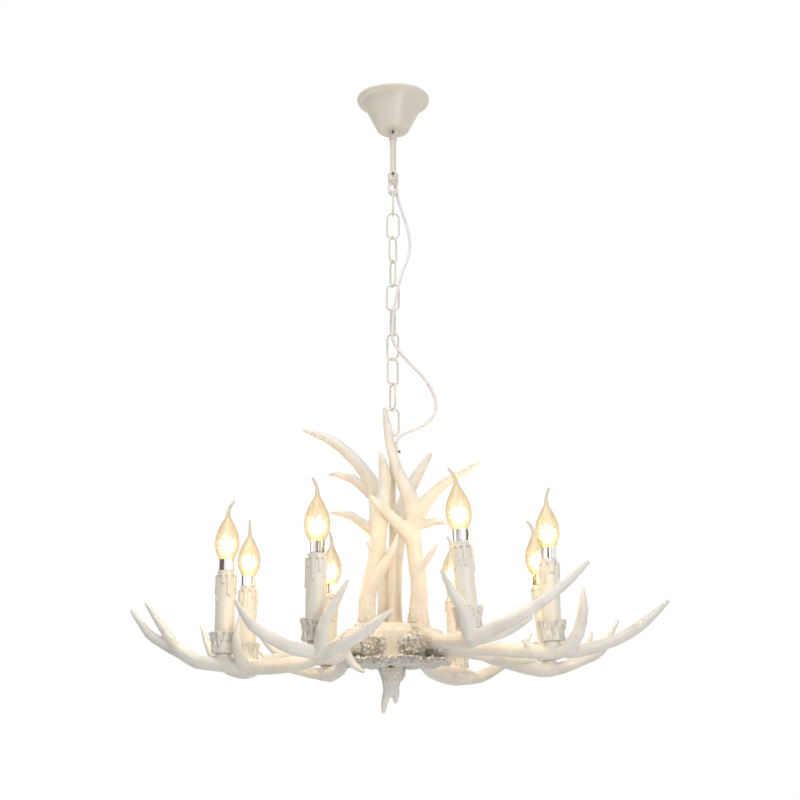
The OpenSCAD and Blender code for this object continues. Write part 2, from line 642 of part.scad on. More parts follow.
// Upright antler that stands on the hub beside the centre tube
module upper_antler(i) {
    color(resin) difference() {
        union() {
            tine([for (p = upper_trunks[i]) on_hub(p)], 2);
            for (t = upper_tines[i])
                tine([for (p = t) on_hub(p)], 2);
        }
        translate([0, 0, hub_foot_z]) cylinder(r = 2 * hub_r, h = hub_h + seat_gap);
    }
}

module candle_cups() {
    hole_r = nipple_d / 2 + fit_gap;
    color(resin) for (i = [0 : 7]) at_candle(i) rotate_extrude()
        polygon([[hole_r, 0], [cup_foot_r - 1, 0], [cup_foot_r, 1], [cup_foot_r - 0.5, cup_h / 2],
            [cup_rim_r, cup_h - 1.5], [cup_rim_r - 1, cup_h], [cup_rim_r - cup_wall, cup_h - 1],
            [cup_foot_r - cup_wall - 0.5, cup_h / 2], [cup_foot_r - cup_wall, cup_floor], [hole_r, cup_floor]]);
}

module candle_sleeves() {
    inner = sleeve_r - sleeve_wall;
    color(cream) for (i = [0 : 7]) at_candle(i) rotate_extrude()
        polygon([[inner, cup_floor + seat_gap], [sleeve_r, cup_floor + seat_gap], [sleeve_r, sleeve_top - 2],
            [sleeve_r - 0.6, sleeve_top - 0.6], [sleeve_r - 1.2, sleeve_top], [inner, sleeve_top]]);
}

module lampholders() {
    body_r = sleeve_r - sleeve_wall - 2 * seat_gap;
    foot = sleeve_top - holder_l;
    floor_z = rim_top - cap_l - 3;
    color(white) for (i = [0 : 7]) at_candle(i) rotate_extrude()
        polygon([[0, foot], [body_r, foot], [body_r, sleeve_top + seat_gap],
            [holder_rim_r, sleeve_top + seat_gap], [holder_rim_r, rim_top - 1], [holder_rim_r - 1, rim_top],
            [holder_bore_r, rim_top], [holder_bore_r, floor_z], [0, floor_z]]);
}

// Hollow nipple up each candle and the nut that holds it to the cup's floor
module candle_nipples() {
    color(chrome) for (i = [0 : 7]) at_candle(i) {
        difference() {
            cylinder(d = nipple_d, h = sleeve_top - holder_l - seat_gap);
            translate([0, 0, -1]) cylinder(d = nipple_d - 3, h = sleeve_top);
        }
        translate([0, 0, cup_floor + seat_gap]) lock_nut(nipple_d / 2 + fit_gap);
    }
}

// Screw cap and bright collar of a bulb, in its candle's frame
module bulb_cap(i) {
    foot = rim_top - cap_l;
    color(chrome) at_candle(i) rotate_extrude()
        polygon([[0, foot - 1.5], [3, foot - 1.5], [4, foot + 1], [cap_r, foot + 2],
            [cap_r, rim_top + seat_gap], [bulb_collar_r - 0.5, rim_top + seat_gap],
            [bulb_collar_r, rim_top + 1],
            [bulb_collar_r, rim_top + bulb_collar_h], [0, rim_top + bulb_collar_h]]);
}

// Flame-shaped glass: a revolved bulb and a drawn tail that leans over
module bulb_glass(i) {
    foot = rim_top + bulb_collar_h + seat_gap;
    neck = 3;
    shape = [[0, 0], [10.4, 0], [13.2, 0.1], [16.3, 0.24], [glass_r, 0.41], [17, 0.55], [14.6, 0.69],
        [10.8, 0.82], [7, 0.92], [neck, 1], [0, 1]];
    color(amber) at_candle(i) translate([0, 0, foot]) {
        rotate_extrude() polygon([for (p = shape) [p[0], p[1] * glass_h]]);
        translate([0, 0, glass_h]) rotate([0, 0, tail_turn[i]]) glass_tail(neck);
    }
}

module glass_tail(neck) {
    cylinder(r1 = neck, r2 = 0.72 * neck, h = tail_h * 0.55);
    translate([0, 0, tail_h * 0.55]) rotate([0, -14, 0])
        cylinder(r1 = 0.72 * neck, r2 = 0.4 * neck, h = tail_h * 0.45);
}

ceiling_bracket();
stem_nuts();
stem_tube();
terminal_block();
terminal_screws();
upper_chain_eye();
upper_eye_screw();
canopy();
canopy_collar();
collar_screw();
hung_link(0);  // chain_link_1
hung_link(1);  // chain_link_2
hung_link(2);  // chain_link_3
hung_link(3);  // chain_link_4
hung_link(4);  // chain_link_5
hung_link(5);  // chain_link_6
hung_link(6);  // chain_link_7
hung_link(7);  // chain_link_8
hung_link(8);  // chain_link_9
hung_link(9);  // chain_link_10
supply_cord();
lower_chain_eye();
lower_eye_screw();
centre_tube();
hub_core();
bottom_plate();
bottom_nut();
finial();
arm_antler(0);  // arm_antler_1
arm_antler(1);  // arm_antler_2
arm_antler(2);  // arm_antler_3
arm_antler(3);  // arm_antler_4
arm_antler(4);  // arm_antler_5
arm_antler(5);  // arm_antler_6
arm_antler(6);  // arm_antler_7
arm_antler(7);  // arm_antler_8
upper_antler(0);  // upper_antler_1
upper_antler(1);  // upper_antler_2
upper_antler(2);  // upper_antler_3
upper_antler(3);  // upper_antler_4
candle_cups();
candle_sleeves();
lampholders();
candle_nipples();
bulb_glass(0);  // bulb_glass_1
bulb_glass(1);  // bulb_glass_2
bulb_glass(2);  // bulb_glass_3
bulb_glass(3);  // bulb_glass_4
bulb_glass(4);  // bulb_glass_5
bulb_glass(5);  // bulb_glass_6
bulb_glass(6);  // bulb_glass_7
bulb_glass(7);  // bulb_glass_8
bulb_cap(0);  // bulb_cap_1
bulb_cap(1);  // bulb_cap_2
bulb_cap(2);  // bulb_cap_3
bulb_cap(3);  // bulb_cap_4
bulb_cap(4);  // bulb_cap_5
bulb_cap(5);  // bulb_cap_6
bulb_cap(6);  // bulb_cap_7
bulb_cap(7);  // bulb_cap_8
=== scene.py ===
# %% [markdown]
# # An antler chandelier on a chain
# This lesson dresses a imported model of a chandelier. Forked antlers of cast resin stand round a
# ribbed hub, eight candles carry flame-shaped bulbs, and the whole hangs from a ceiling cup by a
# chain with loops of cord beside it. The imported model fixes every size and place, so the lesson
# is about surfaces: soft edges, bark, wax, paint, glass and light. The noise gets its seed at the
# start, so that each run gives the same bark.

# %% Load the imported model
import json
import math

import bmesh
import bpy
from mathutils import Matrix, Vector, noise


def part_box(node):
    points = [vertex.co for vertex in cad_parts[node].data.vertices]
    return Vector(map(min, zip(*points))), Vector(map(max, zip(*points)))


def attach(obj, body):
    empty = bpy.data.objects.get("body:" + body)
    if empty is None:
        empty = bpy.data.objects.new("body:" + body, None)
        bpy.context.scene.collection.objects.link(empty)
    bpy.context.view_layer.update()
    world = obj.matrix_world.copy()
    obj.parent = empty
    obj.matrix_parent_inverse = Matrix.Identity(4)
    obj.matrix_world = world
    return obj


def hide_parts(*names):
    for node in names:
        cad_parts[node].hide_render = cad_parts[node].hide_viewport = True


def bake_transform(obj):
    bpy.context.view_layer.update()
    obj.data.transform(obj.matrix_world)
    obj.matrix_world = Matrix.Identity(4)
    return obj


NOISE_SEED = 7
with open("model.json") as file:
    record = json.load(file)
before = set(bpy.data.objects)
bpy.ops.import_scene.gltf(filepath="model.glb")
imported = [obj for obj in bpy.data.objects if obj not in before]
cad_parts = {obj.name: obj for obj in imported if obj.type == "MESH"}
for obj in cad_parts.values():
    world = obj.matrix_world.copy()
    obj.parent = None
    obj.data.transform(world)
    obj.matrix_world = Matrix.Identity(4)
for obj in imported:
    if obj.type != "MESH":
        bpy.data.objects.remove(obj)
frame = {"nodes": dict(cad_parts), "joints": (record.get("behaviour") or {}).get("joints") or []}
noise.seed_set(NOISE_SEED)
cad = frame["nodes"]
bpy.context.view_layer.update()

# %% [markdown]
# ## Camera
# The photograph looks up from below the lowest tip, from about two metres away. Its lens and place
# were found from the ring of candles, whose near and far sides have known sizes. A long lens keeps
# the far candles almost as large as the near ones.

# %% Place the camera
MM = 0.001
LENS_MM, SENSOR_MM = 64.14, 36.0
CAMERA_PLACE = (0.01138, -2.13633, -1.11249)
CAMERA_TILT = math.radians(105.533)
camera_data = bpy.data.cameras.new("photo_camera")
camera_data.lens = LENS_MM
camera_data.sensor_width = SENSOR_MM
camera = bpy.data.objects.new("photo_camera", camera_data)
camera.location = CAMERA_PLACE
camera.rotation_euler = (CAMERA_TILT, 0.0, 0.0)
bpy.context.scene.collection.objects.link(camera)
bpy.context.scene.camera = camera
print("camera at", tuple(round(c, 3) for c in camera.location))

# %% [markdown]
# ## Helpers for pieces
# Each piece ends as a mesh whose object sits at the origin, so that patterns and poses agree with
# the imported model. One helper gives a bmesh a smooth shade and turns it into such a piece.


# %% Turn a bmesh into a piece
def piece_from(bm, name, material):
    for face in bm.faces:
        face.smooth = True
    mesh = bpy.data.meshes.new(name)
    bm.to_mesh(mesh)
    bm.free()
    piece = bpy.data.objects.new(name, mesh)
    bpy.context.scene.collection.objects.link(piece)
    piece.data.materials.append(material)
    return piece


# %% [markdown]
# ## Helpers for materials
# Every finish starts from the Principled shader. A noise pattern on the Object coordinates gives the
# small changes of colour and the small bumps that keep a surface from looking like plastic foam or
# plain paint. The helpers below add those two things to any finish.


# %% Start a material
def start_material(name, colour, roughness, metallic=0.0):
    material = bpy.data.materials.new(name)
    material.use_nodes = True
    tree = material.node_tree
    shader = tree.nodes["Principled BSDF"]
    shader.inputs["Base Color"].default_value = (*colour, 1.0)
    shader.inputs["Roughness"].default_value = roughness
    shader.inputs["Metallic"].default_value = metallic
    return material, tree, shader


# %% Patterns for colour and relief
def noise_pattern(tree, scale, detail=4.0, stretch=(1.0, 1.0, 1.0)):
    place = tree.nodes.new("ShaderNodeTexCoord")
    mapping = tree.nodes.new("ShaderNodeMapping")
    mapping.inputs["Scale"].default_value = stretch
    pattern = tree.nodes.new("ShaderNodeTexNoise")
    pattern.inputs["Scale"].default_value = scale
    pattern.inputs["Detail"].default_value = detail
    tree.links.new(place.outputs["Object"], mapping.inputs["Vector"])
    tree.links.new(mapping.outputs["Vector"], pattern.inputs["Vector"])
    return pattern.outputs["Fac"]


def colour_between(tree, factor, low, high, start=0.35, end=0.65):
    ramp = tree.nodes.new("ShaderNodeValToRGB")
    ramp.color_ramp.elements[0].position = start
    ramp.color_ramp.elements[0].color = (*low, 1.0)
    ramp.color_ramp.elements[1].position = end
    ramp.color_ramp.elements[1].color = (*high, 1.0)
    tree.links.new(factor, ramp.inputs["Fac"])
    return ramp.outputs["Color"]


def relief(tree, shader, height, strength, distance, before=None):
    bump = tree.nodes.new("ShaderNodeBump")
    bump.inputs["Strength"].default_value = strength
    bump.inputs["Distance"].default_value = distance
    tree.links.new(height, bump.inputs["Height"])
    if before is not None:
        tree.links.new(before, bump.inputs["Normal"])
    tree.links.new(bump.outputs["Normal"], shader.inputs["Normal"])
    return bump.outputs["Normal"]


# %% [markdown]
# ## Finishes
# The antlers are cast in cream resin with a satin surface. The rough parts, such as the hub, cups
# and plate, are the same resin with a grey wash left in their pits, darkened further as painted
# shade. Their meshes carry an attribute for it, from 0 on the high parts to 1 in the pits, which the
# finish turns into that wash and painted shade.

# %% Resin of the antlers and of the bark
RESIN_LIGHT = (0.84, 0.81, 0.745)
RESIN_DARK = (0.74, 0.705, 0.635)


def resin_finish(name, wash_and_shade, bump_strength):
    material, tree, shader = start_material(name, RESIN_LIGHT, roughness=0.42)
    grain = noise_pattern(tree, scale=34.0, detail=6.0)
    fine = noise_pattern(tree, scale=420.0, detail=3.0)
    base = colour_between(tree, grain, RESIN_DARK, RESIN_LIGHT, start=0.3, end=0.56)
    # Painted shade and grey wash: the attribute darkens the pits towards the wash colour.
    painted_shade_and_wash = tree.nodes.new("ShaderNodeAttribute")
    painted_shade_and_wash.attribute_name = "painted_shade_and_wash"
    washed_and_shaded = tree.nodes.new("ShaderNodeMix")
    washed_and_shaded.data_type = "RGBA"
    washed_and_shaded.inputs["B"].default_value = (*wash_and_shade, 1.0)
    tree.links.new(painted_shade_and_wash.outputs["Fac"], washed_and_shaded.inputs["Factor"])
    tree.links.new(base, washed_and_shaded.inputs["A"])
    tree.links.new(washed_and_shaded.outputs["Result"], shader.inputs["Base Color"])
    first = relief(tree, shader, grain, strength=0.25, distance=0.004)
    relief(tree, shader, fine, strength=bump_strength, distance=0.0006, before=first)
    return material


# Each wash colour is partly the resin's grey wash and partly painted shade for the crevices.
antler_resin = resin_finish("antler_resin", wash_and_shade=(0.34, 0.315, 0.275), bump_strength=0.12)
bark_resin = resin_finish("bark_resin", wash_and_shade=(0.30, 0.295, 0.285), bump_strength=0.35)

# %% [markdown]
# The cup, chain, eyes and tube are painted ivory with a low gloss. Spray paint dries with a faint
# orange-peel texture, which a fine noise gives. The small screws are dark, and the hidden bracket
# is zinc plated.


# %% Paint and metals
CLOUD_SHADE, STREAK_SHADE = 0.93, 0.8
SKIN_RELIEF = 0.0003


def painted(name, colour, roughness, peel):
    material, tree, shader = start_material(name, colour, roughness)
    cloud = noise_pattern(tree, scale=22.0, detail=3.0)
    dark = tuple(CLOUD_SHADE * c for c in colour)
    tree.links.new(colour_between(tree, cloud, dark, colour), shader.inputs["Base Color"])
    peel_pattern = noise_pattern(tree, scale=900.0, detail=2.0)
    relief(tree, shader, peel_pattern, strength=peel, distance=SKIN_RELIEF)
    return material


def bare_metal(name, colour, roughness, brush):
    material, tree, shader = start_material(name, colour, roughness, metallic=1.0)
    streaks = noise_pattern(tree, scale=260.0, detail=3.0, stretch=(1.0, 1.0, 0.12))
    dark = tuple(STREAK_SHADE * c for c in colour)
    tree.links.new(colour_between(tree, streaks, dark, colour), shader.inputs["Base Color"])
    relief(tree, shader, streaks, strength=brush, distance=SKIN_RELIEF)
    return material


ivory_paint = painted("ivory_paint", (0.79, 0.765, 0.69), roughness=0.34, peel=0.12)
chain_paint = painted("chain_paint", (0.80, 0.765, 0.68), roughness=0.42, peel=0.12)
white_ring = painted("white_ring", (0.80, 0.79, 0.77), roughness=0.28, peel=0.05)
block_white = painted("block_white", (0.80, 0.80, 0.78), roughness=0.5, peel=0.1)
zinc = bare_metal("zinc_plate", (0.62, 0.63, 0.64), roughness=0.35, brush=0.25)
dark_screw = bare_metal("dark_screw", (0.24, 0.21, 0.16), roughness=0.32, brush=0.1)

# %% [markdown]
# The bulb caps are polished nickel. A mirror shows its room, and this room is almost all white, so
# the caps would look like white paint. Noise that doesn't change with height gives them the dark and
# bright upright bands of a real room, without building one.

# %% Nickel of the bulb caps
NICKEL_DARK, NICKEL_BRIGHT = (0.13, 0.115, 0.09), (0.88, 0.87, 0.85)
bright_nickel, nickel_tree, nickel_shader = start_material(
    "bright_nickel", (0.8, 0.79, 0.77), roughness=0.14, metallic=1.0
)
nickel_bands = noise_pattern(nickel_tree, scale=150.0, detail=1.0, stretch=(1.0, 1.0, 0.0))
nickel_tree.links.new(
    colour_between(nickel_tree, nickel_bands, NICKEL_DARK, NICKEL_BRIGHT, start=0.42, end=0.56),
    nickel_shader.inputs["Base Color"],
)
nickel_ripple = noise_pattern(nickel_tree, scale=700.0, detail=2.0)
relief(nickel_tree, nickel_shader, nickel_ripple, strength=0.03, distance=0.0002)
print("resin, paint and metal finishes:", len(bpy.data.materials))

# %% [markdown]
# Candle sleeves are moulded in ivory plastic that looks like wax: a little light goes into it. An
# attribute is 1 along the edges of the wax runs and darkens them as painted shade.

# %% Wax
WAX_DARK, WAX_LIGHT, WAX_EDGE_SHADOW = (0.83, 0.79, 0.69), (0.87, 0.845, 0.77), (0.46, 0.39, 0.29)
candle_wax, wax_tree, wax_shader = start_material("candle_wax", (0.82, 0.785, 0.69), roughness=0.4)
wax_cloud = noise_pattern(wax_tree, scale=30.0, detail=4.0)
# Painted shade: the edges of the wax runs are coloured darker.
wax_edge_shade = wax_tree.nodes.new("ShaderNodeAttribute")
wax_edge_shade.attribute_name = "painted_shade_and_wash"
wax_shade = wax_tree.nodes.new("ShaderNodeMix")
wax_shade.data_type = "RGBA"
wax_shade.inputs["B"].default_value = (*WAX_EDGE_SHADOW, 1.0)
wax_tree.links.new(wax_edge_shade.outputs["Fac"], wax_shade.inputs["Factor"])
wax_tree.links.new(colour_between(wax_tree, wax_cloud, WAX_DARK, WAX_LIGHT), wax_shade.inputs["A"])
wax_tree.links.new(wax_shade.outputs["Result"], wax_shader.inputs["Base Color"])
wax_shader.inputs["Subsurface Weight"].default_value = 0.15
wax_shader.inputs["Subsurface Radius"].default_value = (0.004, 0.003, 0.002)
wax_grain = noise_pattern(wax_tree, scale=260.0, detail=2.0)
relief(wax_tree, wax_shader, wax_grain, strength=0.08, distance=0.0005)

# %% [markdown]
# The cord has a clear jacket over white cores, so it looks milky and slightly violet, with a coat of
# gloss on top.

# %% Cord jacket
CORD_DARK, CORD_LIGHT = (0.76, 0.735, 0.77), (0.86, 0.84, 0.86)
milky_cord, cord_tree, cord_shader = start_material("milky_cord", (0.80, 0.775, 0.80), roughness=0.25)
cord_cloud = noise_pattern(cord_tree, scale=120.0, detail=2.0)
cord_tree.links.new(
    colour_between(cord_tree, cord_cloud, CORD_DARK, CORD_LIGHT), cord_shader.inputs["Base Color"]
)
cord_shader.inputs["Coat Weight"].default_value = 0.4
cord_ripple = noise_pattern(cord_tree, scale=400.0, detail=2.0)
relief(cord_tree, cord_shader, cord_ripple, strength=0.05, distance=0.0003)
print("finishes with wax and cord:", len(bpy.data.materials))

# %% [markdown]
# ## The supply cord
# The cord leaves the stem beside the upper eye, swings out in a loop, hangs down in front of the
# chain, makes a second loop to the right and goes into the centre tube beside the lower eye. It is
# one cord, but it must follow eleven joints, and a piece can bend over only one. So it is made as
# eleven stretches, cut half way between the joints, and their ends meet. The route passes through
# measured points, in millimetres, as a smooth curve.

# %% Route of the cord
CORD_POINTS = [
    (3, 5, -144.6), (3, 5, -150), (4.5, 5, -160), (7, 4.5, -174), (12, 4, -194), (19.5, 4, -217),
    (25.5, 2, -243), (27, 0, -265), (24, -2, -283), (16, -7, -307), (9.5, -11, -332), (5, -14, -357),
    (1, -16, -378), (0, -17, -398), (-1, -17, -418), (2.5, -17, -432), (13, -16, -448), (30, -13, -467),
    (48, -11, -486), (60, -9, -505), (66.5, -7, -523), (66, -6, -539), (59, -6, -552), (48, -6, -561),
    (36, -6, -567), (22, -5, -572), (12, -4, -578), (6.5, -3, -586.5), (5, -3, -593), (5, -3, -597.6),
]
CORD_D = 0.0045
STEPS = 6


def smooth_route(points, steps):
    points = [MM * Vector(p) for p in points]
    route = []
    for i in range(len(points) - 1):
        a, b = points[max(i - 1, 0)], points[i]
        c, d = points[i + 1], points[min(i + 2, len(points) - 1)]
        for j in range(steps):
            t = j / steps
            square = (2 * a - 5 * b + 4 * c - d) * t * t
            cube = (3 * b - a - 3 * c + d) * t**3
            route.append(0.5 * (2 * b + (c - a) * t + square + cube))
    return route + [points[-1]]


cord_route = smooth_route(CORD_POINTS, STEPS)
print("points on the cord's route:", len(cord_route))

# %% Cut the route at heights half way between the joints
swings = [joint for joint in frame["joints"] if joint["type"] == "hinge"]
joint_z = [joint["pos_m"][2] for joint in swings]
cuts = [cord_route[0].z] + [(a + b) / 2 for a, b in zip(joint_z, joint_z[1:])] + [cord_route[-1].z]


def at_height(route, z):
    for a, b in zip(route, route[1:]):
        if a.z >= z >= b.z:
            return a.lerp(b, (a.z - z) / max(a.z - b.z, 1e-9))
    return route[-1]


def stretch_mesh(name, path):
    curve = bpy.data.curves.new(name + "_line", "CURVE")
    curve.dimensions = "3D"
    curve.bevel_depth = CORD_D / 2
    curve.bevel_resolution = 4
    curve.use_fill_caps = True
    spline = curve.splines.new("POLY")
    spline.points.add(len(path) - 1)
    for point, p in zip(spline.points, path):
        point.co = (*p, 1.0)
    line = bpy.data.objects.new(name + "_line", curve)
    bpy.context.scene.collection.objects.link(line)
    bpy.context.view_layer.update()
    mesh = bpy.data.meshes.new_from_object(line.evaluated_get(bpy.context.evaluated_depsgraph_get()))
    bpy.data.objects.remove(line)
    mesh.name = name
    return mesh


cord_length = 0.0
for k, joint in enumerate(swings):
    high, low = cuts[k], cuts[k + 1]
    path = [at_height(cord_route, high)]
    path += [p for p in cord_route if low + 1e-6 < p.z < high - 1e-6]
    path.append(at_height(cord_route, low))
    length = sum((b - a).length for a, b in zip(path, path[1:]))
    cord_length += length
    name = f"cord_stretch_{k + 1}"
    mesh = stretch_mesh(name, path)
    mesh.materials.clear()
    mesh.materials.append(milky_cord)
    for polygon in mesh.polygons:
        polygon.use_smooth = True
    stretch = bpy.data.objects.new(name, mesh)
    bpy.context.scene.collection.objects.link(stretch)
    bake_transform(stretch)
    if k == 0:
        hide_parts("supply_cord")
print("cord length in metres:", round(cord_length, 3))

# %% [markdown]
# ## Antlers
# Cast antlers have soft forks: where a tine leaves the beam the resin fills the corner. The packed
# antlers are swept eight-sided tubes that meet in sharp lines. A voxel remesh joins their skins, a
# few rounds of smoothing fill the forks and round the sides, and a small push along the normals
# gives back the thickness that smoothing takes.


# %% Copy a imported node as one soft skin
def soft_skin(node, voxel, rounds, inflate):
    bm = bmesh.new()
    bm.from_mesh(cad[node].data)
    bmesh.ops.remove_doubles(bm, verts=bm.verts, dist=1e-5)
    mesh = bpy.data.meshes.new(node + "_skin")
    bm.to_mesh(mesh)
    bm.free()
    skin = bpy.data.objects.new(node + "_skin", mesh)
    bpy.context.scene.collection.objects.link(skin)
    remesh = skin.modifiers.new("voxels", "REMESH")
    remesh.mode = "VOXEL"
    remesh.voxel_size = voxel
    bpy.context.view_layer.update()
    made = bpy.data.meshes.new_from_object(skin.evaluated_get(bpy.context.evaluated_depsgraph_get()))
    bpy.data.objects.remove(skin)
    bm = bmesh.new()
    bm.from_mesh(made)
    for _ in range(rounds):
        bmesh.ops.smooth_vert(
            bm, verts=bm.verts, factor=0.5, use_axis_x=True, use_axis_y=True, use_axis_z=True
        )
    bm.normal_update()
    for vert in bm.verts:
        vert.co += vert.normal * inflate
    return bm


# %% [markdown]
# Bark and burrs are rounded beads with crevices between them. The difference between the distances
# to the nearest two cell centres falls to nothing on the border of two cells, which gives the
# crevices. Beads of two sizes are added, and a swirl of noise keeps the borders from being straight.
# The attribute keeps how deep each vertex lies, for the wash and the painted shade in the crevices.


# %% Bark and unevenness
CREVICE_SLOPE, SWIRL, SWIRL_SIZE = 2.0, 0.6, 1.7
LARGE_SHARE, SMALL_SHARE = 0.65, 0.35
BEAD_LEVEL, PIT_SLOPE, PIT_START = 0.45, 2.6, 1.2


def crevice(point, size):
    distances = noise.voronoi(point / size)[0]
    return 1.0 - min(1.0, (distances[1] - distances[0]) * CREVICE_SLOPE)


def bark(point, size):
    swirl = point + size * SWIRL * noise.noise_vector(point / (SWIRL_SIZE * size))
    return LARGE_SHARE * crevice(swirl, size) + SMALL_SHARE * crevice(swirl, 0.5 * size)


def add_bark(bm, amount_at, size, height, wash_and_shade):
    painted_shade_and_wash = bm.verts.layers.float.new("painted_shade_and_wash")
    bm.normal_update()
    moves = []
    for vert in bm.verts:
        amount = amount_at(vert.co)
        hollow = bark(vert.co, size) if amount > 0 else 0.0
        # Painted shade with the wash: the deeper a vertex lies in a crevice, the darker it is coloured.
        vert[painted_shade_and_wash] = wash_and_shade * amount * max(0.0, min(1.0, PIT_SLOPE * hollow - PIT_START))
        moves.append(vert.normal * height * amount * (BEAD_LEVEL - hollow))
    for vert, move in zip(bm.verts, moves):
        vert.co += move


def uneven(bm, size, height):
    bm.normal_update()
    moves = [vert.normal * height * noise.noise(vert.co / size) for vert in bm.verts]
    for vert, move in zip(bm.verts, moves):
        vert.co += move


# %% [markdown]
# Low noise makes the antlers' surface uneven, and bark beads rise near the hub, where a real antler
# has its burr. On the arms they fade out with the distance from the middle, and on the uprights with
# the height above the hub.

# %% Make the arm antlers and the upright antlers
HUB_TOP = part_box("hub_core")[1].z
ARM_BARK_R, ARM_FADE = 0.092, 0.02
FOOT_BARK_H, FOOT_FADE = 0.055, 0.04
WAVE_SIZE, WAVE_H = 0.03, 0.0008
RIPPLE_SIZE, RIPPLE_H = 0.009, 0.0003


def near_hub(co):
    return max(0.0, min(1.0, (ARM_BARK_R - math.hypot(co.x, co.y)) / ARM_FADE))


def near_foot(co):
    return max(0.0, min(1.0, (HUB_TOP + FOOT_BARK_H - co.z) / FOOT_FADE))


antler_nodes = sorted(n for n in cad if "antler" in n)
for node in antler_nodes:
    bm = soft_skin(node, voxel=0.0014, rounds=10, inflate=0.0004)
    uneven(bm, WAVE_SIZE, WAVE_H)
    uneven(bm, RIPPLE_SIZE, RIPPLE_H)
    if node.startswith("arm"):
        add_bark(bm, near_hub, size=0.0055, height=0.0022, wash_and_shade=0.4)
    else:
        add_bark(bm, near_foot, size=0.0055, height=0.0024, wash_and_shade=0.18)
    antler = piece_from(bm, node + "_cast", antler_resin)
    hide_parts(node)
    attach(antler, "pendant")
    print(node, "faces:", len(antler.data.polygons))

# %% [markdown]
# ## Burrs at the feet
# An antler widens to a rough burr where it leaves the skull, and the upright ones show it where they
# stand on the hub. A flattened ball of bark round each foot gives it, and closes the corner between
# the foot and the roots of the arms.

# %% Make the four burrs
FOOT_BURRS = ((38, -22, 21), (-37, -22, 19.5), (-13, 29, 15.5), (7, 45, 14.5))
BURR_HALF_H = 10.5
BURR_DROP = 5.5
burrs = bmesh.new()
for x, y, radius in FOOT_BURRS:
    stand = Matrix.Translation((x * MM, y * MM, HUB_TOP - BURR_DROP * MM))
    flat = Matrix.Diagonal((radius * MM, radius * MM, BURR_HALF_H * MM, 1))
    bmesh.ops.create_uvsphere(burrs, u_segments=96, v_segments=40, radius=1.0, matrix=stand @ flat)
uneven(burrs, size=0.012, height=0.002)
add_bark(burrs, lambda co: 1.0, size=0.0055, height=0.0026, wash_and_shade=0.22)
burrs = piece_from(burrs, "foot_burrs", antler_resin)
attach(burrs, "pendant")
print("foot burrs:", len(FOOT_BURRS))

# %% [markdown]
# ## Hub, plate and finial
# The hub's side shows fine ribs in the middle and cut burrs with a bead-like edge on both sides. It
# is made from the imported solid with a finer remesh, so that the ribs stay, and beads cover the burrs
# fully and the rest of its side lightly.

# %% Beads on the burrs of the hub
BURR_TURNS = (-115, -66, 98)
BURR_CENTRE_R, BURR_R, BURR_FADE = 0.056, 0.015, 0.004
BURR_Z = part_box("hub_core")[0].z + 0.0225
BURR_BEADS_Z = BURR_Z - 0.005
HUB_SIDE_R, HUB_SIDE_BARK, HUB_FACE_BARK = 0.04, 0.2, 0.1


def on_burrs(co):
    best = 0.0
    for turn in BURR_TURNS:
        a = math.radians(turn)
        centre = Vector((BURR_CENTRE_R * math.cos(a), BURR_CENTRE_R * math.sin(a), BURR_BEADS_Z))
        best = max(best, 1.0 - max(0.0, (co - centre).length - BURR_R) / BURR_FADE)
    on_side = math.hypot(co.x, co.y) > HUB_SIDE_R
    return max(HUB_SIDE_BARK, min(1.0, best)) if on_side else HUB_FACE_BARK


hub = soft_skin("hub_core", voxel=0.0011, rounds=1, inflate=0.0)
add_bark(hub, on_burrs, size=0.0065, height=0.0036, wash_and_shade=0.75)
hub = piece_from(hub, "hub_core_cast", bark_resin)
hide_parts("hub_core")
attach(hub, "pendant")
print("hub faces:", len(hub.data.polygons))

# %% [markdown]
# The plate under the hub looks like a slice of a large burr with a torn edge. The edge could be cut
# from a drawn jagged line, but noise that pulls the rim outwards never repeats and is less work. The
# plate's beads are the largest.

# %% Torn plate
PLATE_RIM_R, PLATE_FACE_BARK = 0.048, 0.4
TEAR_FADE, TEAR_SIZE = 0.012, 0.009


def torn_edge(bm, inner, out, ragged):
    for vert in bm.verts:
        radius = vert.co.xy.length
        share = max(0.0, min(1.0, (radius - inner) / TEAR_FADE))
        tear = out + ragged * noise.noise(vert.co / TEAR_SIZE)
        vert.co.xy *= 1.0 + share * tear / max(radius, inner)


def on_rim(co):
    return 1.0 if math.hypot(co.x, co.y) > PLATE_RIM_R else PLATE_FACE_BARK


plate = soft_skin("bottom_plate", voxel=0.0013, rounds=2, inflate=0.0)
torn_edge(plate, inner=0.052, out=0.0045, ragged=0.006)
uneven(plate, size=0.012, height=0.0034)
add_bark(plate, on_rim, size=0.0075, height=0.0052, wash_and_shade=0.9)
plate = piece_from(plate, "bottom_plate_cast", bark_resin)
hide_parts("bottom_plate")
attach(plate, "pendant")
print("plate faces:", len(plate.data.polygons))

# %% [markdown]
# Where the front arms are rooted, a round burr shows on each. It is a flat ball of bark that faces
# outwards. A row of the table gives its place in millimetres, the way that it faces in degrees, and
# its radius in millimetres.

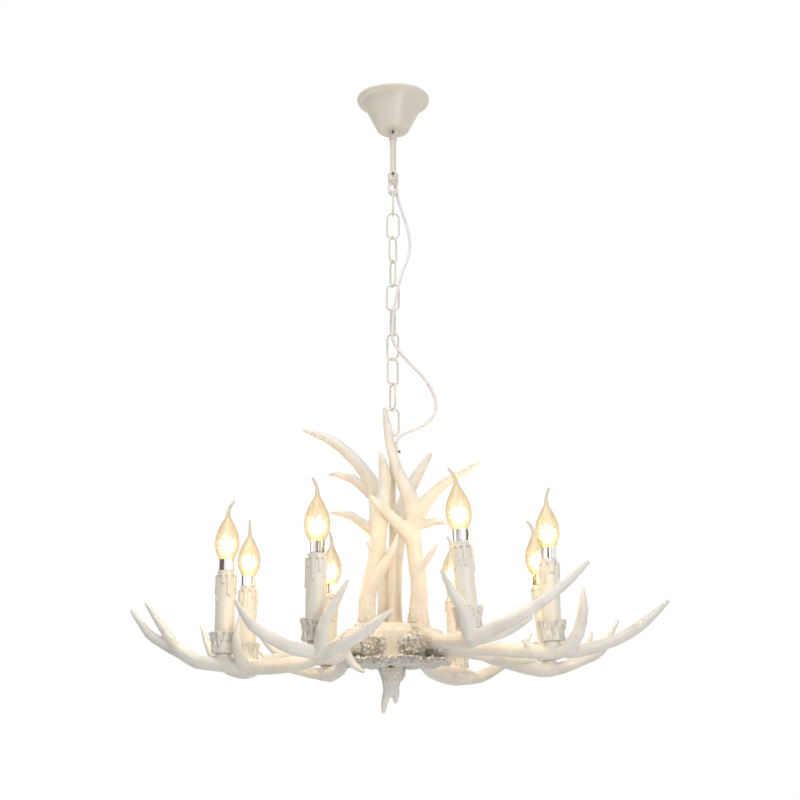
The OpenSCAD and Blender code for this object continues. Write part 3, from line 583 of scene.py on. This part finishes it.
# %% Round burrs where the front arms are rooted
ROOT_BURRS = (
    (-36, -46, -122, 19.5), (35, -46, -58, 20), (-68, -38, -146, 15), (71, -40, -42, 16),
)
ROOT_HALF_T, ROOT_HEIGHT = 6.5, 0.88
roots = bmesh.new()
for x, y, facing, radius in ROOT_BURRS:
    stand = Matrix.Translation((x * MM, y * MM, BURR_Z)) @ Matrix.Rotation(math.radians(facing), 4, "Z")
    flat = Matrix.Diagonal((ROOT_HALF_T * MM, radius * MM, ROOT_HEIGHT * radius * MM, 1))
    bmesh.ops.create_uvsphere(roots, u_segments=110, v_segments=80, radius=1.0, matrix=stand @ flat)
uneven(roots, size=0.010, height=0.0022)
add_bark(roots, lambda co: 1.0, size=0.0070, height=0.0050, wash_and_shade=0.75)
roots = piece_from(roots, "root_burrs", bark_resin)
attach(roots, "pendant")
print("root burrs:", len(ROOT_BURRS))

# %% [markdown]
# The finial is a small forked antler, made in the same way as the arms. It is rough at the top, where
# it meets the plate, and smooth towards its two tips.

# %% Finial
FINIAL_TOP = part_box("finial")[1].z
FINIAL_BARK_H, FINIAL_FADE = 0.038, 0.02


def near_collar(co):
    return max(0.0, min(1.0, (co.z - FINIAL_TOP + FINIAL_BARK_H) / FINIAL_FADE))


finial = soft_skin("finial", voxel=0.0012, rounds=5, inflate=0.0003)
uneven(finial, size=0.012, height=0.0012)
add_bark(finial, near_collar, size=0.0055, height=0.0027, wash_and_shade=0.3)
finial = piece_from(finial, "finial_cast", antler_resin)
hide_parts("finial")
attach(finial, "pendant")
print("finial faces:", len(finial.data.polygons))

# %% [markdown]
# ## Candle cups
# Each cup is a short piece of bark: flared, with furrows that run up its side and an uneven rim. The
# furrows come from noise that is stretched along the height, so it needs each cup's own frame. The
# table gives each candle's azimuth in degrees, how far it is outside the ring and above the arms'
# height in millimetres, and its lean in degrees.

# %% Places of the candles
RING_R, ARM_Z = 0.253, -0.910
CANDLES = [
    (-113.5, 0, -5, 0), (-66, 1, 11, -4.5), (-23, -6, 9, -1), (21.5, 7, 0, -5.5),
    (65.5, 2, -2, -2.5), (115, 3, 4, 1.5), (157, -7, -3, 0), (202, 4, -8, 0),
]


def candle_matrix(k):
    azimuth, more, height, lean = CANDLES[k]
    a, r = math.radians(azimuth), RING_R + more * MM
    place = Matrix.Translation((r * math.cos(a), r * math.sin(a), ARM_Z + height * MM))
    return place @ Matrix.Rotation(math.radians(lean), 4, "Y")


candle_frames = [candle_matrix(k) for k in range(len(CANDLES))]
to_candle = [m.inverted() for m in candle_frames]
print("candles:", len(CANDLES), "on a ring of radius", RING_R)

# %% Furrowed bark on the cups
CUP_H, CUP_BORE_R, CUP_FLOOR = 0.030, 0.0172, 0.0012
FURROW_W, FURROW_H, CUP_BEAD = 0.0034, 0.015, 0.0055
FURROW_DEPTH, BEAD_DEPTH, RIM_TEAR, RIM_START = 0.0014, 0.002, 0.006, 0.75
FURROW_SHIFT, BEAD_SHIFT, BEAD_STRETCH, CUP_PIT_MAX = 7.0, 0.1, 0.6, 0.5
cups = soft_skin("candle_cups", voxel=0.001, rounds=1, inflate=0.0001)
painted_shade_and_wash = cups.verts.layers.float.new("painted_shade_and_wash")
cups.normal_update()
moves = []
for vert in cups.verts:
    k = min(range(len(CANDLES)), key=lambda i: (to_candle[i] @ vert.co).xy.length)
    local = to_candle[k] @ vert.co
    outside = 1.0 if local.xy.length > CUP_BORE_R and local.z > CUP_FLOOR else 0.0
    along = local.z / FURROW_H + FURROW_SHIFT * k
    furrow = noise.noise(Vector((local.x / FURROW_W, local.y / FURROW_W, along)))
    lump = bark(Vector((local.x, local.y, BEAD_STRETCH * local.z + BEAD_SHIFT * k)), CUP_BEAD)
    rim = max(0.0, local.z / CUP_H - RIM_START)
    # Painted shade with the wash: crevices between the beads and furrows are coloured darker.
    vert[painted_shade_and_wash] = outside * max(0.0, min(CUP_PIT_MAX, 0.9 * lump - 0.8 * furrow - 0.45))
    flat = Vector((local.x, local.y, 0))
    out = flat.normalized() if local.xy.length > 1e-6 else Vector((0, 0, 0))
    push = outside * (FURROW_DEPTH * furrow + BEAD_DEPTH * (0.4 - lump))
    lift = Vector((0, 0, RIM_TEAR * rim * furrow))
    moves.append(candle_frames[k].to_3x3() @ (out * push + lift))
for vert, move in zip(cups.verts, moves):
    vert.co += move
cups = piece_from(cups, "candle_cups_bark", bark_resin)
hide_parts("candle_cups")
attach(cups, "pendant")
print("cup faces:", len(cups.data.polygons))

# %% [markdown]
# ## Candle sleeves with wax
# A sleeve is a plain tube with a rounded shoulder, and wax has run down from its top. The tube comes
# from a spin. The runs are made as a sculptor would: each vertex near a run is pushed outwards, most
# along its middle line, and a little more in the bead at its lower end. A run is given by its angle
# and half width in radians and its length in metres.

# %% Profile and runs of one candle
SLEEVE_R, SLEEVE_WALL = 0.014, 0.0016
SLEEVE_FOOT, SLEEVE_TOP = 0.0032, 0.112
SEGMENTS = 160
WAX_H, RUN_H, RUN_NARROWS, RUN_EDGE = 0.0019, 0.7, 0.35, 6
BEAD_H, BEAD_PLACE, BEAD_REACH = 0.3, 0.9, 0.003
SHOULDER_SHARE, SHOULDER_H = 0.6, 0.006
WAX_RUNS = [
    (0.25, 0.30, 0.018), (0.95, 0.17, 0.037), (1.65, 0.26, 0.024), (2.35, 0.15, 0.029),
    (3.05, 0.27, 0.042), (3.85, 0.20, 0.016), (4.45, 0.24, 0.033), (5.1, 0.15, 0.022),
    (5.7, 0.20, 0.030),
]


def wax_height(angle, depth):
    most = 0.0
    for centre, half, length in WAX_RUNS:
        away = abs((angle - centre + math.pi) % (2 * math.pi) - math.pi)
        width = half * (1.0 - RUN_NARROWS * min(1.0, depth / length))
        bead = BEAD_H * math.exp(-(((depth - length * BEAD_PLACE) / BEAD_REACH) ** 2))
        end = max(0.0, min(1.0, (length - depth) / BEAD_REACH))
        across = math.exp(-((away / width) ** RUN_EDGE))
        most = max(most, across * end * (RUN_H + bead))
    shoulder = max(0.0, 1.0 - depth / SHOULDER_H)
    return max(most, SHOULDER_SHARE * shoulder)


# %% Spin one sleeve, with few rings on its plain lower part and many where the wax is
PLAIN_H, PLAIN_RINGS = 0.062, 4
WAXED_FOOT, WAXED_SPAN, WAXED_RINGS = 0.0652, 0.0452, 44
SHOULDER_IN, SHOULDER_DOWN, LIP_IN, LIP_DOWN = 0.0007, 0.0004, 0.0004, 0.0006
WAXED_DEPTH, EDGE_SHADE, EDGE_AT, EDGE_REACH = 0.0009, 0.8, 0.3, 0.28


def full_turn(bm, geom, steps):
    bmesh.ops.spin(
        bm, geom=geom, cent=(0, 0, 0), axis=(0, 0, 1), angle=2 * math.pi, steps=steps, use_merge=True
    )
    bmesh.ops.remove_doubles(bm, verts=bm.verts, dist=1e-6)


def sleeve_bmesh(turn):
    bm = bmesh.new()
    inner = SLEEVE_R - SLEEVE_WALL
    levels = [SLEEVE_FOOT + PLAIN_H * i / PLAIN_RINGS for i in range(PLAIN_RINGS + 1)]
    levels += [WAXED_FOOT + WAXED_SPAN * i / WAXED_RINGS for i in range(1, WAXED_RINGS + 1)]
    profile = [(SLEEVE_R, z) for z in levels]
    profile += [(SLEEVE_R - SHOULDER_IN, SLEEVE_TOP - SHOULDER_DOWN), (inner + LIP_IN, SLEEVE_TOP)]
    profile += [(inner, SLEEVE_TOP - LIP_DOWN), (inner, SLEEVE_FOOT)]
    verts = [bm.verts.new((r, 0, z)) for r, z in profile]
    edges = [bm.edges.new((a, b)) for a, b in zip(verts, verts[1:])]
    edges.append(bm.edges.new((verts[-1], verts[0])))
    full_turn(bm, verts + edges, SEGMENTS)
    rim = bm.verts.layers.float.new("painted_shade_and_wash")
    for vert in bm.verts:
        radius = vert.co.xy.length
        if radius > SLEEVE_R - WAXED_DEPTH:
            angle = math.atan2(vert.co.y, vert.co.x) + turn
            height = wax_height(angle, SLEEVE_TOP - vert.co.z)
            # Painted shade along the edges of the wax runs.
            vert[rim] = EDGE_SHADE * max(0.0, 1.0 - abs(height - EDGE_AT) / EDGE_REACH)
            vert.co.xy *= (radius + WAX_H * height) / radius
    bmesh.ops.recalc_face_normals(bm, faces=bm.faces)
    return bm


# %% Make the eight sleeves as one piece
SLEEVE_TURN = 0.8
sleeves = bmesh.new()
for k, matrix in enumerate(candle_frames):
    one = sleeve_bmesh(SLEEVE_TURN * k)
    one.transform(matrix)
    mesh = bpy.data.meshes.new("sleeve")
    one.to_mesh(mesh)
    one.free()
    sleeves.from_mesh(mesh)
    bpy.data.meshes.remove(mesh)
sleeves = piece_from(sleeves, "candle_sleeves_wax", candle_wax)
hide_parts("candle_sleeves")
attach(sleeves, "pendant")
print("sleeve faces:", len(sleeves.data.polygons))

# %% [markdown]
# ## Bulbs
# The bulbs are blown amber glass in the shape of a flame, drawn out to a tail that leans over, on each
# bulb to another side, because a bulb stops where its screw thread ends. Inside a lit bulb the wires
# glow, and a bright star hides the filament. The glass is a spun shell. Its tail is pulled out ring by
# ring, as glass is: each ring is extruded, moved, turned and made smaller. The lamp inside would burn
# its own glass out to white, so light linking keeps that lamp off the glass.

# %% Glass and glow
GLASS_DARK, GLASS_LIGHT, GLASS_RIM = (0.68, 0.47, 0.15), (0.92, 0.73, 0.36), (0.32, 0.24, 0.10)
bulb_glass, glass_tree, glass_shader = start_material("bulb_glass", (0.90, 0.58, 0.26), roughness=0.05)
glass_edge = glass_tree.nodes.new("ShaderNodeLayerWeight")
glass_edge.inputs["Blend"].default_value = 0.35
glass_alpha = glass_tree.nodes.new("ShaderNodeMapRange")
glass_alpha.inputs["From Max"].default_value = 0.85
glass_alpha.inputs["To Min"].default_value = 0.38
glass_alpha.inputs["To Max"].default_value = 0.9
glass_tree.links.new(glass_edge.outputs["Facing"], glass_alpha.inputs["Value"])
glass_tree.links.new(glass_alpha.outputs["Result"], glass_shader.inputs["Alpha"])
glass_streaks = noise_pattern(glass_tree, scale=90.0, detail=2.0, stretch=(1.0, 1.0, 0.2))
glass_middle = colour_between(glass_tree, glass_streaks, GLASS_DARK, GLASS_LIGHT)
glass_rim = glass_tree.nodes.new("ShaderNodeMix")
glass_rim.data_type = "RGBA"
glass_rim.inputs["B"].default_value = (*GLASS_RIM, 1.0)
glass_tree.links.new(glass_edge.outputs["Facing"], glass_rim.inputs["Factor"])
glass_tree.links.new(glass_middle, glass_rim.inputs["A"])
glass_tree.links.new(glass_rim.outputs["Result"], glass_shader.inputs["Base Color"])
relief(glass_tree, glass_shader, glass_streaks, strength=0.3, distance=0.001)
# The faint amber emission is a painted glow on the glass, standing in for the lamp's light that light
# linking keeps off it.
glass_shader.inputs["Emission Color"].default_value = (1.0, 0.72, 0.30, 1.0)
glass_shader.inputs["Emission Strength"].default_value = 0.08


def glow(name, colour, strength):
    material, tree, shader = start_material(name, colour, roughness=0.5)
    flicker = noise_pattern(tree, scale=200.0, detail=2.0)
    pale = tuple(min(1.0, c * 1.06) for c in colour)
    tree.links.new(colour_between(tree, flicker, colour, pale), shader.inputs["Emission Color"])
    shader.inputs["Emission Strength"].default_value = strength
    return material


star_glow = glow("star_glow", (1.0, 0.95, 0.80), strength=5.0)
ray_glow = glow("ray_glow", (1.0, 0.78, 0.32), strength=1.8)

# %% [markdown]
# The profile of the glass is a list of radii and heights in millimetres. A step of the tail is its
# rise in millimetres, its turn in degrees, and how much narrower the ring gets.

# %% Spin the glass and draw its tail
GLASS_FOOT = 0.1334
GLASS_SEGMENTS = 48
GLASS_PROFILE = [
    (9.8, 0.2), (11.2, 2), (13.2, 6), (15.1, 10), (16.6, 14.5), (17.5, 19), (17.7, 24), (17.4, 29.5),
    (16.4, 35), (14.8, 40.5), (12.6, 45.5), (10.2, 50.5), (7.6, 55.5), (5.2, 59.5), (3.5, 63),
]
TAIL_STEPS = [
    (3.2, -2, 0.86), (3.2, -3, 0.87), (3.2, -5, 0.89), (3.0, -6, 0.90), (2.8, -7, 0.91),
    (2.8, -7, 0.92), (2.6, -6, 0.92), (2.5, -4, 0.92), (2.4, -2, 0.92),
]


def glass_bmesh():
    bm = bmesh.new()
    verts = [bm.verts.new((r * MM, 0, z * MM)) for r, z in GLASS_PROFILE]
    edges = [bm.edges.new((a, b)) for a, b in zip(verts, verts[1:])]
    full_turn(bm, verts + edges, GLASS_SEGMENTS)
    top = GLASS_PROFILE[-1][1] * MM
    ring = [e for e in bm.edges if e.is_boundary and min(v.co.z for v in e.verts) > top - 1e-5]
    centre, heading = Vector((0, 0, top)), Vector((0, 0, 1))
    for rise, turn, narrow in TAIL_STEPS:
        made = bmesh.ops.extrude_edge_only(bm, edges=ring)["geom"]
        ring = [g for g in made if isinstance(g, bmesh.types.BMEdge)]
        moved = [g for g in made if isinstance(g, bmesh.types.BMVert)]
        bend = Matrix.Rotation(math.radians(turn), 3, "Y")
        heading = bend @ heading
        step = heading * rise * MM
        about = Matrix.Translation(centre)
        shape = about @ Matrix.Diagonal((narrow, narrow, 1, 1)) @ bend.to_4x4() @ about.inverted()
        bmesh.ops.transform(bm, matrix=Matrix.Translation(step) @ shape, verts=moved)
        centre = centre + step
    bmesh.ops.contextual_create(bm, geom=ring)
    foot = [e for e in bm.edges if e.is_boundary]
    bmesh.ops.contextual_create(bm, geom=foot)
    bmesh.ops.recalc_face_normals(bm, faces=bm.faces)
    bm.transform(Matrix.Translation((0, 0, GLASS_FOOT)))
    return bm


# %% [markdown]
# The star is a small ball with spikes of three lengths. Each spike stands a golden turn further round
# than the last, which spreads them evenly without rows. The five thin rays under it are the glowing
# wires.

# %% Star and rays inside the glass
STAR_Z, STAR_R, STAR_SPIKES = 0.0205, 0.0065, 34
SPIKE_LENGTHS, SPIKE_R, SPIKE_TIP_R = (0.0085, 0.0065, 0.0075), 0.0013, 0.0001
GOLDEN_TURN = math.radians(137.508)
RAYS, RAY_RING_R, RAY_Z, RAY_LEAN = 5, 0.0058, 0.0085, math.radians(-8)
RAY_LENGTH, RAY_R, RAY_TIP_R = 0.017, 0.0012, 0.0005


def star_bmesh():
    bm = bmesh.new()
    bmesh.ops.create_icosphere(bm, subdivisions=3, radius=STAR_R)
    for i in range(STAR_SPIKES):
        rise = 1.0 - 2.0 * (i + 0.5) / STAR_SPIKES
        flat = math.sqrt(1.0 - rise * rise)
        way = Vector((flat * math.cos(i * GOLDEN_TURN), flat * math.sin(i * GOLDEN_TURN), rise))
        length = SPIKE_LENGTHS[i % 3] * (1.0 + 0.5 * max(0.0, rise))
        stand = Matrix.Translation(way * (STAR_R + 0.45 * length))
        stand = stand @ way.to_track_quat("Z", "Y").to_matrix().to_4x4()
        bmesh.ops.create_cone(
            bm, cap_ends=True, segments=6, radius1=SPIKE_R, radius2=SPIKE_TIP_R, depth=length, matrix=stand
        )
    bm.transform(Matrix.Translation((0, 0, GLASS_FOOT + STAR_Z)))
    return bm


def rays_bmesh():
    bm = bmesh.new()
    for i in range(RAYS):
        a = 2 * math.pi * i / RAYS
        x, y = RAY_RING_R * math.cos(a), RAY_RING_R * math.sin(a)
        foot = Matrix.Translation((x, y, GLASS_FOOT + RAY_Z))
        lean = Matrix.Rotation(a, 4, "Z") @ Matrix.Rotation(RAY_LEAN, 4, "Y") @ Matrix.Rotation(-a, 4, "Z")
        bmesh.ops.create_cone(
            bm, cap_ends=True, segments=10, radius1=RAY_R, radius2=RAY_TIP_R, depth=RAY_LENGTH,
            matrix=foot @ lean,
        )
    return bm


# %% Put glass, star, rays and a lamp in each bulb
LAMP_POWER, LAMP_COLOUR, LAMP_R = 0.85, (1.0, 0.61, 0.18), 0.012
TAIL_TURNS = (40, 0, 120, 0, -60, 60, 90, 180)
BULB_SHAPES = (
    ("glass", glass_bmesh, bulb_glass), ("star", star_bmesh, star_glow), ("rays", rays_bmesh, ray_glow),
)
glasses = bpy.data.collections.new("glasses")
for k, matrix in enumerate(candle_frames):
    body = f"bulb_{k + 1}"
    for name, make, material in BULB_SHAPES:
        bm = make()
        bm.transform(matrix @ Matrix.Rotation(math.radians(TAIL_TURNS[k]), 4, "Z"))
        piece = piece_from(bm, f"bulb_{name}_shape_{k + 1}", material)
        if name == "glass":
            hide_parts(f"bulb_glass_{k + 1}")
            glasses.objects.link(piece)
        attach(piece, body)
    lamp_data = bpy.data.lights.new(f"bulb_lamp_{k + 1}", "POINT")
    lamp_data.energy = LAMP_POWER
    lamp_data.color = LAMP_COLOUR
    lamp_data.shadow_soft_size = LAMP_R
    lamp = bpy.data.objects.new(f"bulb_lamp_{k + 1}", lamp_data)
    lamp.location = matrix @ Vector((0, 0, GLASS_FOOT + STAR_Z))
    lamp.light_linking.receiver_collection = glasses
    lamp.light_linking.blocker_collection = glasses
    bpy.context.scene.collection.objects.link(lamp)
    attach(lamp, body)
for linked in glasses.collection_objects:
    linked.light_linking.link_state = "EXCLUDE"

# %% [markdown]
# ## Chain
# A chain link is round wire bent to an oblong and welded. Its section is spun through half a turn,
# drawn straight down, and spun again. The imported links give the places.

# %% Make one link by spinning and drawing its section
LINK_L, LINK_W, WIRE_R = 0.047, 0.022, 0.0015
WIRE_SIDES, BOW_STEPS = 16, 18
LINK_TURNS = [90, 0, 55, 115, 180, 250, 335, 395, 475, 545]
LINK_PITCH = 0.0408
CHAIN_TOP = -0.1654


def half_turn(bm, geom, z):
    turned = bmesh.ops.spin(
        bm, geom=geom, cent=(0, 0, z), axis=(0, 1, 0), angle=-math.pi, steps=BOW_STEPS
    )
    return [g for g in turned["geom_last"] if isinstance(g, bmesh.types.BMEdge)]


def link_bmesh():
    bm = bmesh.new()
    bow, straight = LINK_W / 2 - WIRE_R, LINK_L - LINK_W
    turn = Matrix.Translation((bow, 0, 0))
    bmesh.ops.create_circle(bm, segments=WIRE_SIDES, radius=WIRE_R, matrix=turn)
    geom = bm.verts[:] + bm.edges[:]
    first = list(bm.edges)
    drawn = bmesh.ops.extrude_edge_only(bm, edges=half_turn(bm, geom, 0))["geom"]
    lowered = [g for g in drawn if isinstance(g, bmesh.types.BMVert)]
    bmesh.ops.translate(bm, vec=(0, 0, -straight), verts=lowered)
    low = [g for g in drawn if not isinstance(g, bmesh.types.BMFace)]
    bmesh.ops.bridge_loops(bm, edges=first + half_turn(bm, low, -straight))
    bmesh.ops.remove_doubles(bm, verts=bm.verts, dist=1e-6)
    bmesh.ops.recalc_face_normals(bm, faces=bm.faces)
    bm.transform(Matrix.Translation((0, 0, -bow)))
    return bm


for k, turn in enumerate(LINK_TURNS):
    bm = link_bmesh()
    hung = Matrix.Translation((0, 0, CHAIN_TOP - k * LINK_PITCH))
    bm.transform(hung @ Matrix.Rotation(math.radians(turn), 4, "Z"))
    link = piece_from(bm, f"chain_link_{k + 1}_wire", chain_paint)
    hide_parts(f"chain_link_{k + 1}")
    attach(link, f"link_{k + 1}")
print("links:", len(LINK_TURNS), "of wire in mm:", round(2 * WIRE_R / MM, 2))

# %% [markdown]
# ## Ceiling cup
# The cup is pressed and spun sheet: a flat foot, a straight cone and a rolled rim. A spin of its
# profile gives it, with both of its faces, so that it is open at the top as the real one is.

# %% Spin the cup
CUP_RIM_R, CUP_FOOT_R, CUP_DEPTH, SHEET = 0.0595, 0.0265, 0.061, 0.0015
ROLL, CORNER, CUP_BORE, CUP_GAP = 0.005, 0.004, 0.0053, 0.0002
CUP_SEGMENTS = 128


def arc(x, y, radius, start, end, count):
    turns = [math.radians(start + (end - start) * i / count) for i in range(count + 1)]
    return [(x + radius * math.cos(t), y + radius * math.sin(t)) for t in turns]


neck = CUP_RIM_R - 0.010
cup_profile = (
    arc(CUP_RIM_R - ROLL, -ROLL, ROLL, 90, -90, 14)
    + [(neck, -2 * ROLL - 0.002)]
    + arc(CUP_FOOT_R - CORNER, CORNER - CUP_DEPTH, CORNER, -20, -90, 8)
    + [(CUP_BORE, -CUP_DEPTH), (CUP_BORE, SHEET - CUP_DEPTH)]
    + arc(CUP_FOOT_R - CORNER, CORNER - CUP_DEPTH, CORNER - SHEET, -90, -20, 6)
    + [(neck - SHEET, SHEET - 2 * ROLL - 0.003)]
    + arc(CUP_RIM_R - ROLL, -ROLL, ROLL - SHEET, -90, 90, 10)
)
bm = bmesh.new()
verts = [bm.verts.new((r, 0, z - CUP_GAP)) for r, z in cup_profile]
edges = [bm.edges.new((a, b)) for a, b in zip(verts, verts[1:] + verts[:1])]
full_turn(bm, verts + edges, CUP_SEGMENTS)
bmesh.ops.recalc_face_normals(bm, faces=bm.faces)
cup = piece_from(bm, "canopy_pressed", ivory_paint)
sharp = cup.modifiers.new("edges", "EDGE_SPLIT")
sharp.split_angle = math.radians(35)
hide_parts("canopy")
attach(cup, "ceiling_cup")
print("ceiling cup faces:", len(cup.data.polygons))

# %% [markdown]
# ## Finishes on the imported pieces
# The other pieces have the right shape already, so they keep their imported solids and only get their
# finish: paint on the stem, eyes, collar and tube, metal on the screws, nuts and bulb caps.

# %% Assign finishes
FINISHES = {
    "ceiling_bracket": zinc, "stem_nuts": zinc, "stem_tube": ivory_paint, "terminal_block": block_white,
    "terminal_screws": zinc, "upper_chain_eye": chain_paint, "upper_eye_screw": dark_screw,
    "canopy_collar": ivory_paint, "collar_screw": dark_screw, "lower_chain_eye": chain_paint,
    "lower_eye_screw": dark_screw, "centre_tube": ivory_paint, "bottom_nut": zinc,
    "lampholders": white_ring, "candle_nipples": zinc,
}
for k in range(len(CANDLES)):
    FINISHES[f"bulb_cap_{k + 1}"] = bright_nickel
for node, material in FINISHES.items():
    cad[node].data.materials.clear()
    cad[node].data.materials.append(material)
print("packed pieces with a finish:", len(FINISHES))

# %% [markdown]
# ## Room and light
# The lamp hangs in a bright studio: a pale floor far below, lit from under it as a light table is,
# a white background, and soft light from above and from the front.

# %% Floor
FLOOR_Z, FLOOR_SIZE, FLOOR_GLOW = -2.4, 8.0, 0.22
bm = bmesh.new()
bmesh.ops.create_grid(bm, x_segments=8, y_segments=8, size=FLOOR_SIZE)
bm.transform(Matrix.Translation((0, 0, FLOOR_Z)))
floor_paint = painted("floor_paint", (0.86, 0.86, 0.85), roughness=0.7, peel=0.02)
floor_shader = floor_paint.node_tree.nodes["Principled BSDF"]
floor_shader.inputs["Emission Color"].default_value = (1.0, 0.99, 0.97, 1.0)
floor_shader.inputs["Emission Strength"].default_value = FLOOR_GLOW
floor = piece_from(bm, "studio_floor", floor_paint)

# %% [markdown]
# The background is white for rays that come from the camera or from a shiny or clear surface. For
# all other rays it is a dimmer, slightly warm light, so that the white doesn't wash the object out.

# %% World
SOFT_COLOUR, SOFT_STRENGTH = (1.0, 0.985, 0.96), 0.37
world = bpy.data.worlds.new("studio")
bpy.context.scene.world = world
world.use_nodes = True
sky = world.node_tree
for node in list(sky.nodes):
    sky.nodes.remove(node)
output = sky.nodes.new("ShaderNodeOutputWorld")
soft = sky.nodes.new("ShaderNodeBackground")
soft.inputs["Color"].default_value = (*SOFT_COLOUR, 1.0)
soft.inputs["Strength"].default_value = SOFT_STRENGTH
white = sky.nodes.new("ShaderNodeBackground")
white.inputs["Strength"].default_value = 1.0
white.inputs["Color"].default_value = (1.0, 1.0, 1.0, 1.0)
rays = sky.nodes.new("ShaderNodeLightPath")
seen = sky.nodes.new("ShaderNodeMath")
seen.operation = "MAXIMUM"
clear = sky.nodes.new("ShaderNodeMath")
clear.operation = "MAXIMUM"
choose = sky.nodes.new("ShaderNodeMixShader")
sky.links.new(rays.outputs["Is Camera Ray"], seen.inputs[0])
sky.links.new(rays.outputs["Is Glossy Ray"], seen.inputs[1])
sky.links.new(seen.outputs[0], clear.inputs[0])
sky.links.new(rays.outputs["Is Transmission Ray"], clear.inputs[1])
sky.links.new(clear.outputs[0], choose.inputs["Fac"])
sky.links.new(soft.outputs[0], choose.inputs[1])
sky.links.new(white.outputs[0], choose.inputs[2])
sky.links.new(choose.outputs[0], output.inputs["Surface"])
print("soft background strength:", SOFT_STRENGTH)

# %% [markdown]
# Four soft boxes light the lamp. One hangs above it, and another stands in front, to the right. A
# weak one on the left opens the shadows, and a small one with a narrow beam lifts the finial from
# below.


# %% Soft boxes
def soft_box(name, place, target, size, power, colour):
    data = bpy.data.lights.new(name, "AREA")
    data.shape = "RECTANGLE"
    data.size, data.size_y = size
    data.energy = power
    data.color = colour
    box = bpy.data.objects.new(name, data)
    box.location = place
    box.rotation_mode = "QUATERNION"
    box.rotation_quaternion = (Vector(target) - Vector(place)).to_track_quat("-Z", "Y")
    bpy.context.scene.collection.objects.link(box)
    return box


CENTRE, FINIAL = (0.0, 0.0, -0.75), (0.0, 0.0, -1.0)
NARROW_BEAM = math.radians(30)
soft_box("top_box", (-0.3, -0.5, 0.9), CENTRE, (1.0, 1.0), 14.5, (1.0, 0.99, 0.97))
soft_box("front_box", (0.9, -1.9, -0.6), CENTRE, (0.8, 0.8), 13.0, (0.98, 0.99, 1.0))
low_box = soft_box("low_box", (0.5, -1.7, -1.7), FINIAL, (0.4, 0.4), 0.05, (0.98, 0.99, 1.0))
low_box.data.spread = NARROW_BEAM
soft_box("left_box", (-2.0, -0.9, -0.3), CENTRE, (0.8, 1.2), 0.6, (0.95, 0.97, 1.0))
print("lights:", len(bpy.data.lights))

# %% View settings
bpy.context.scene.view_settings.view_transform = "Standard"
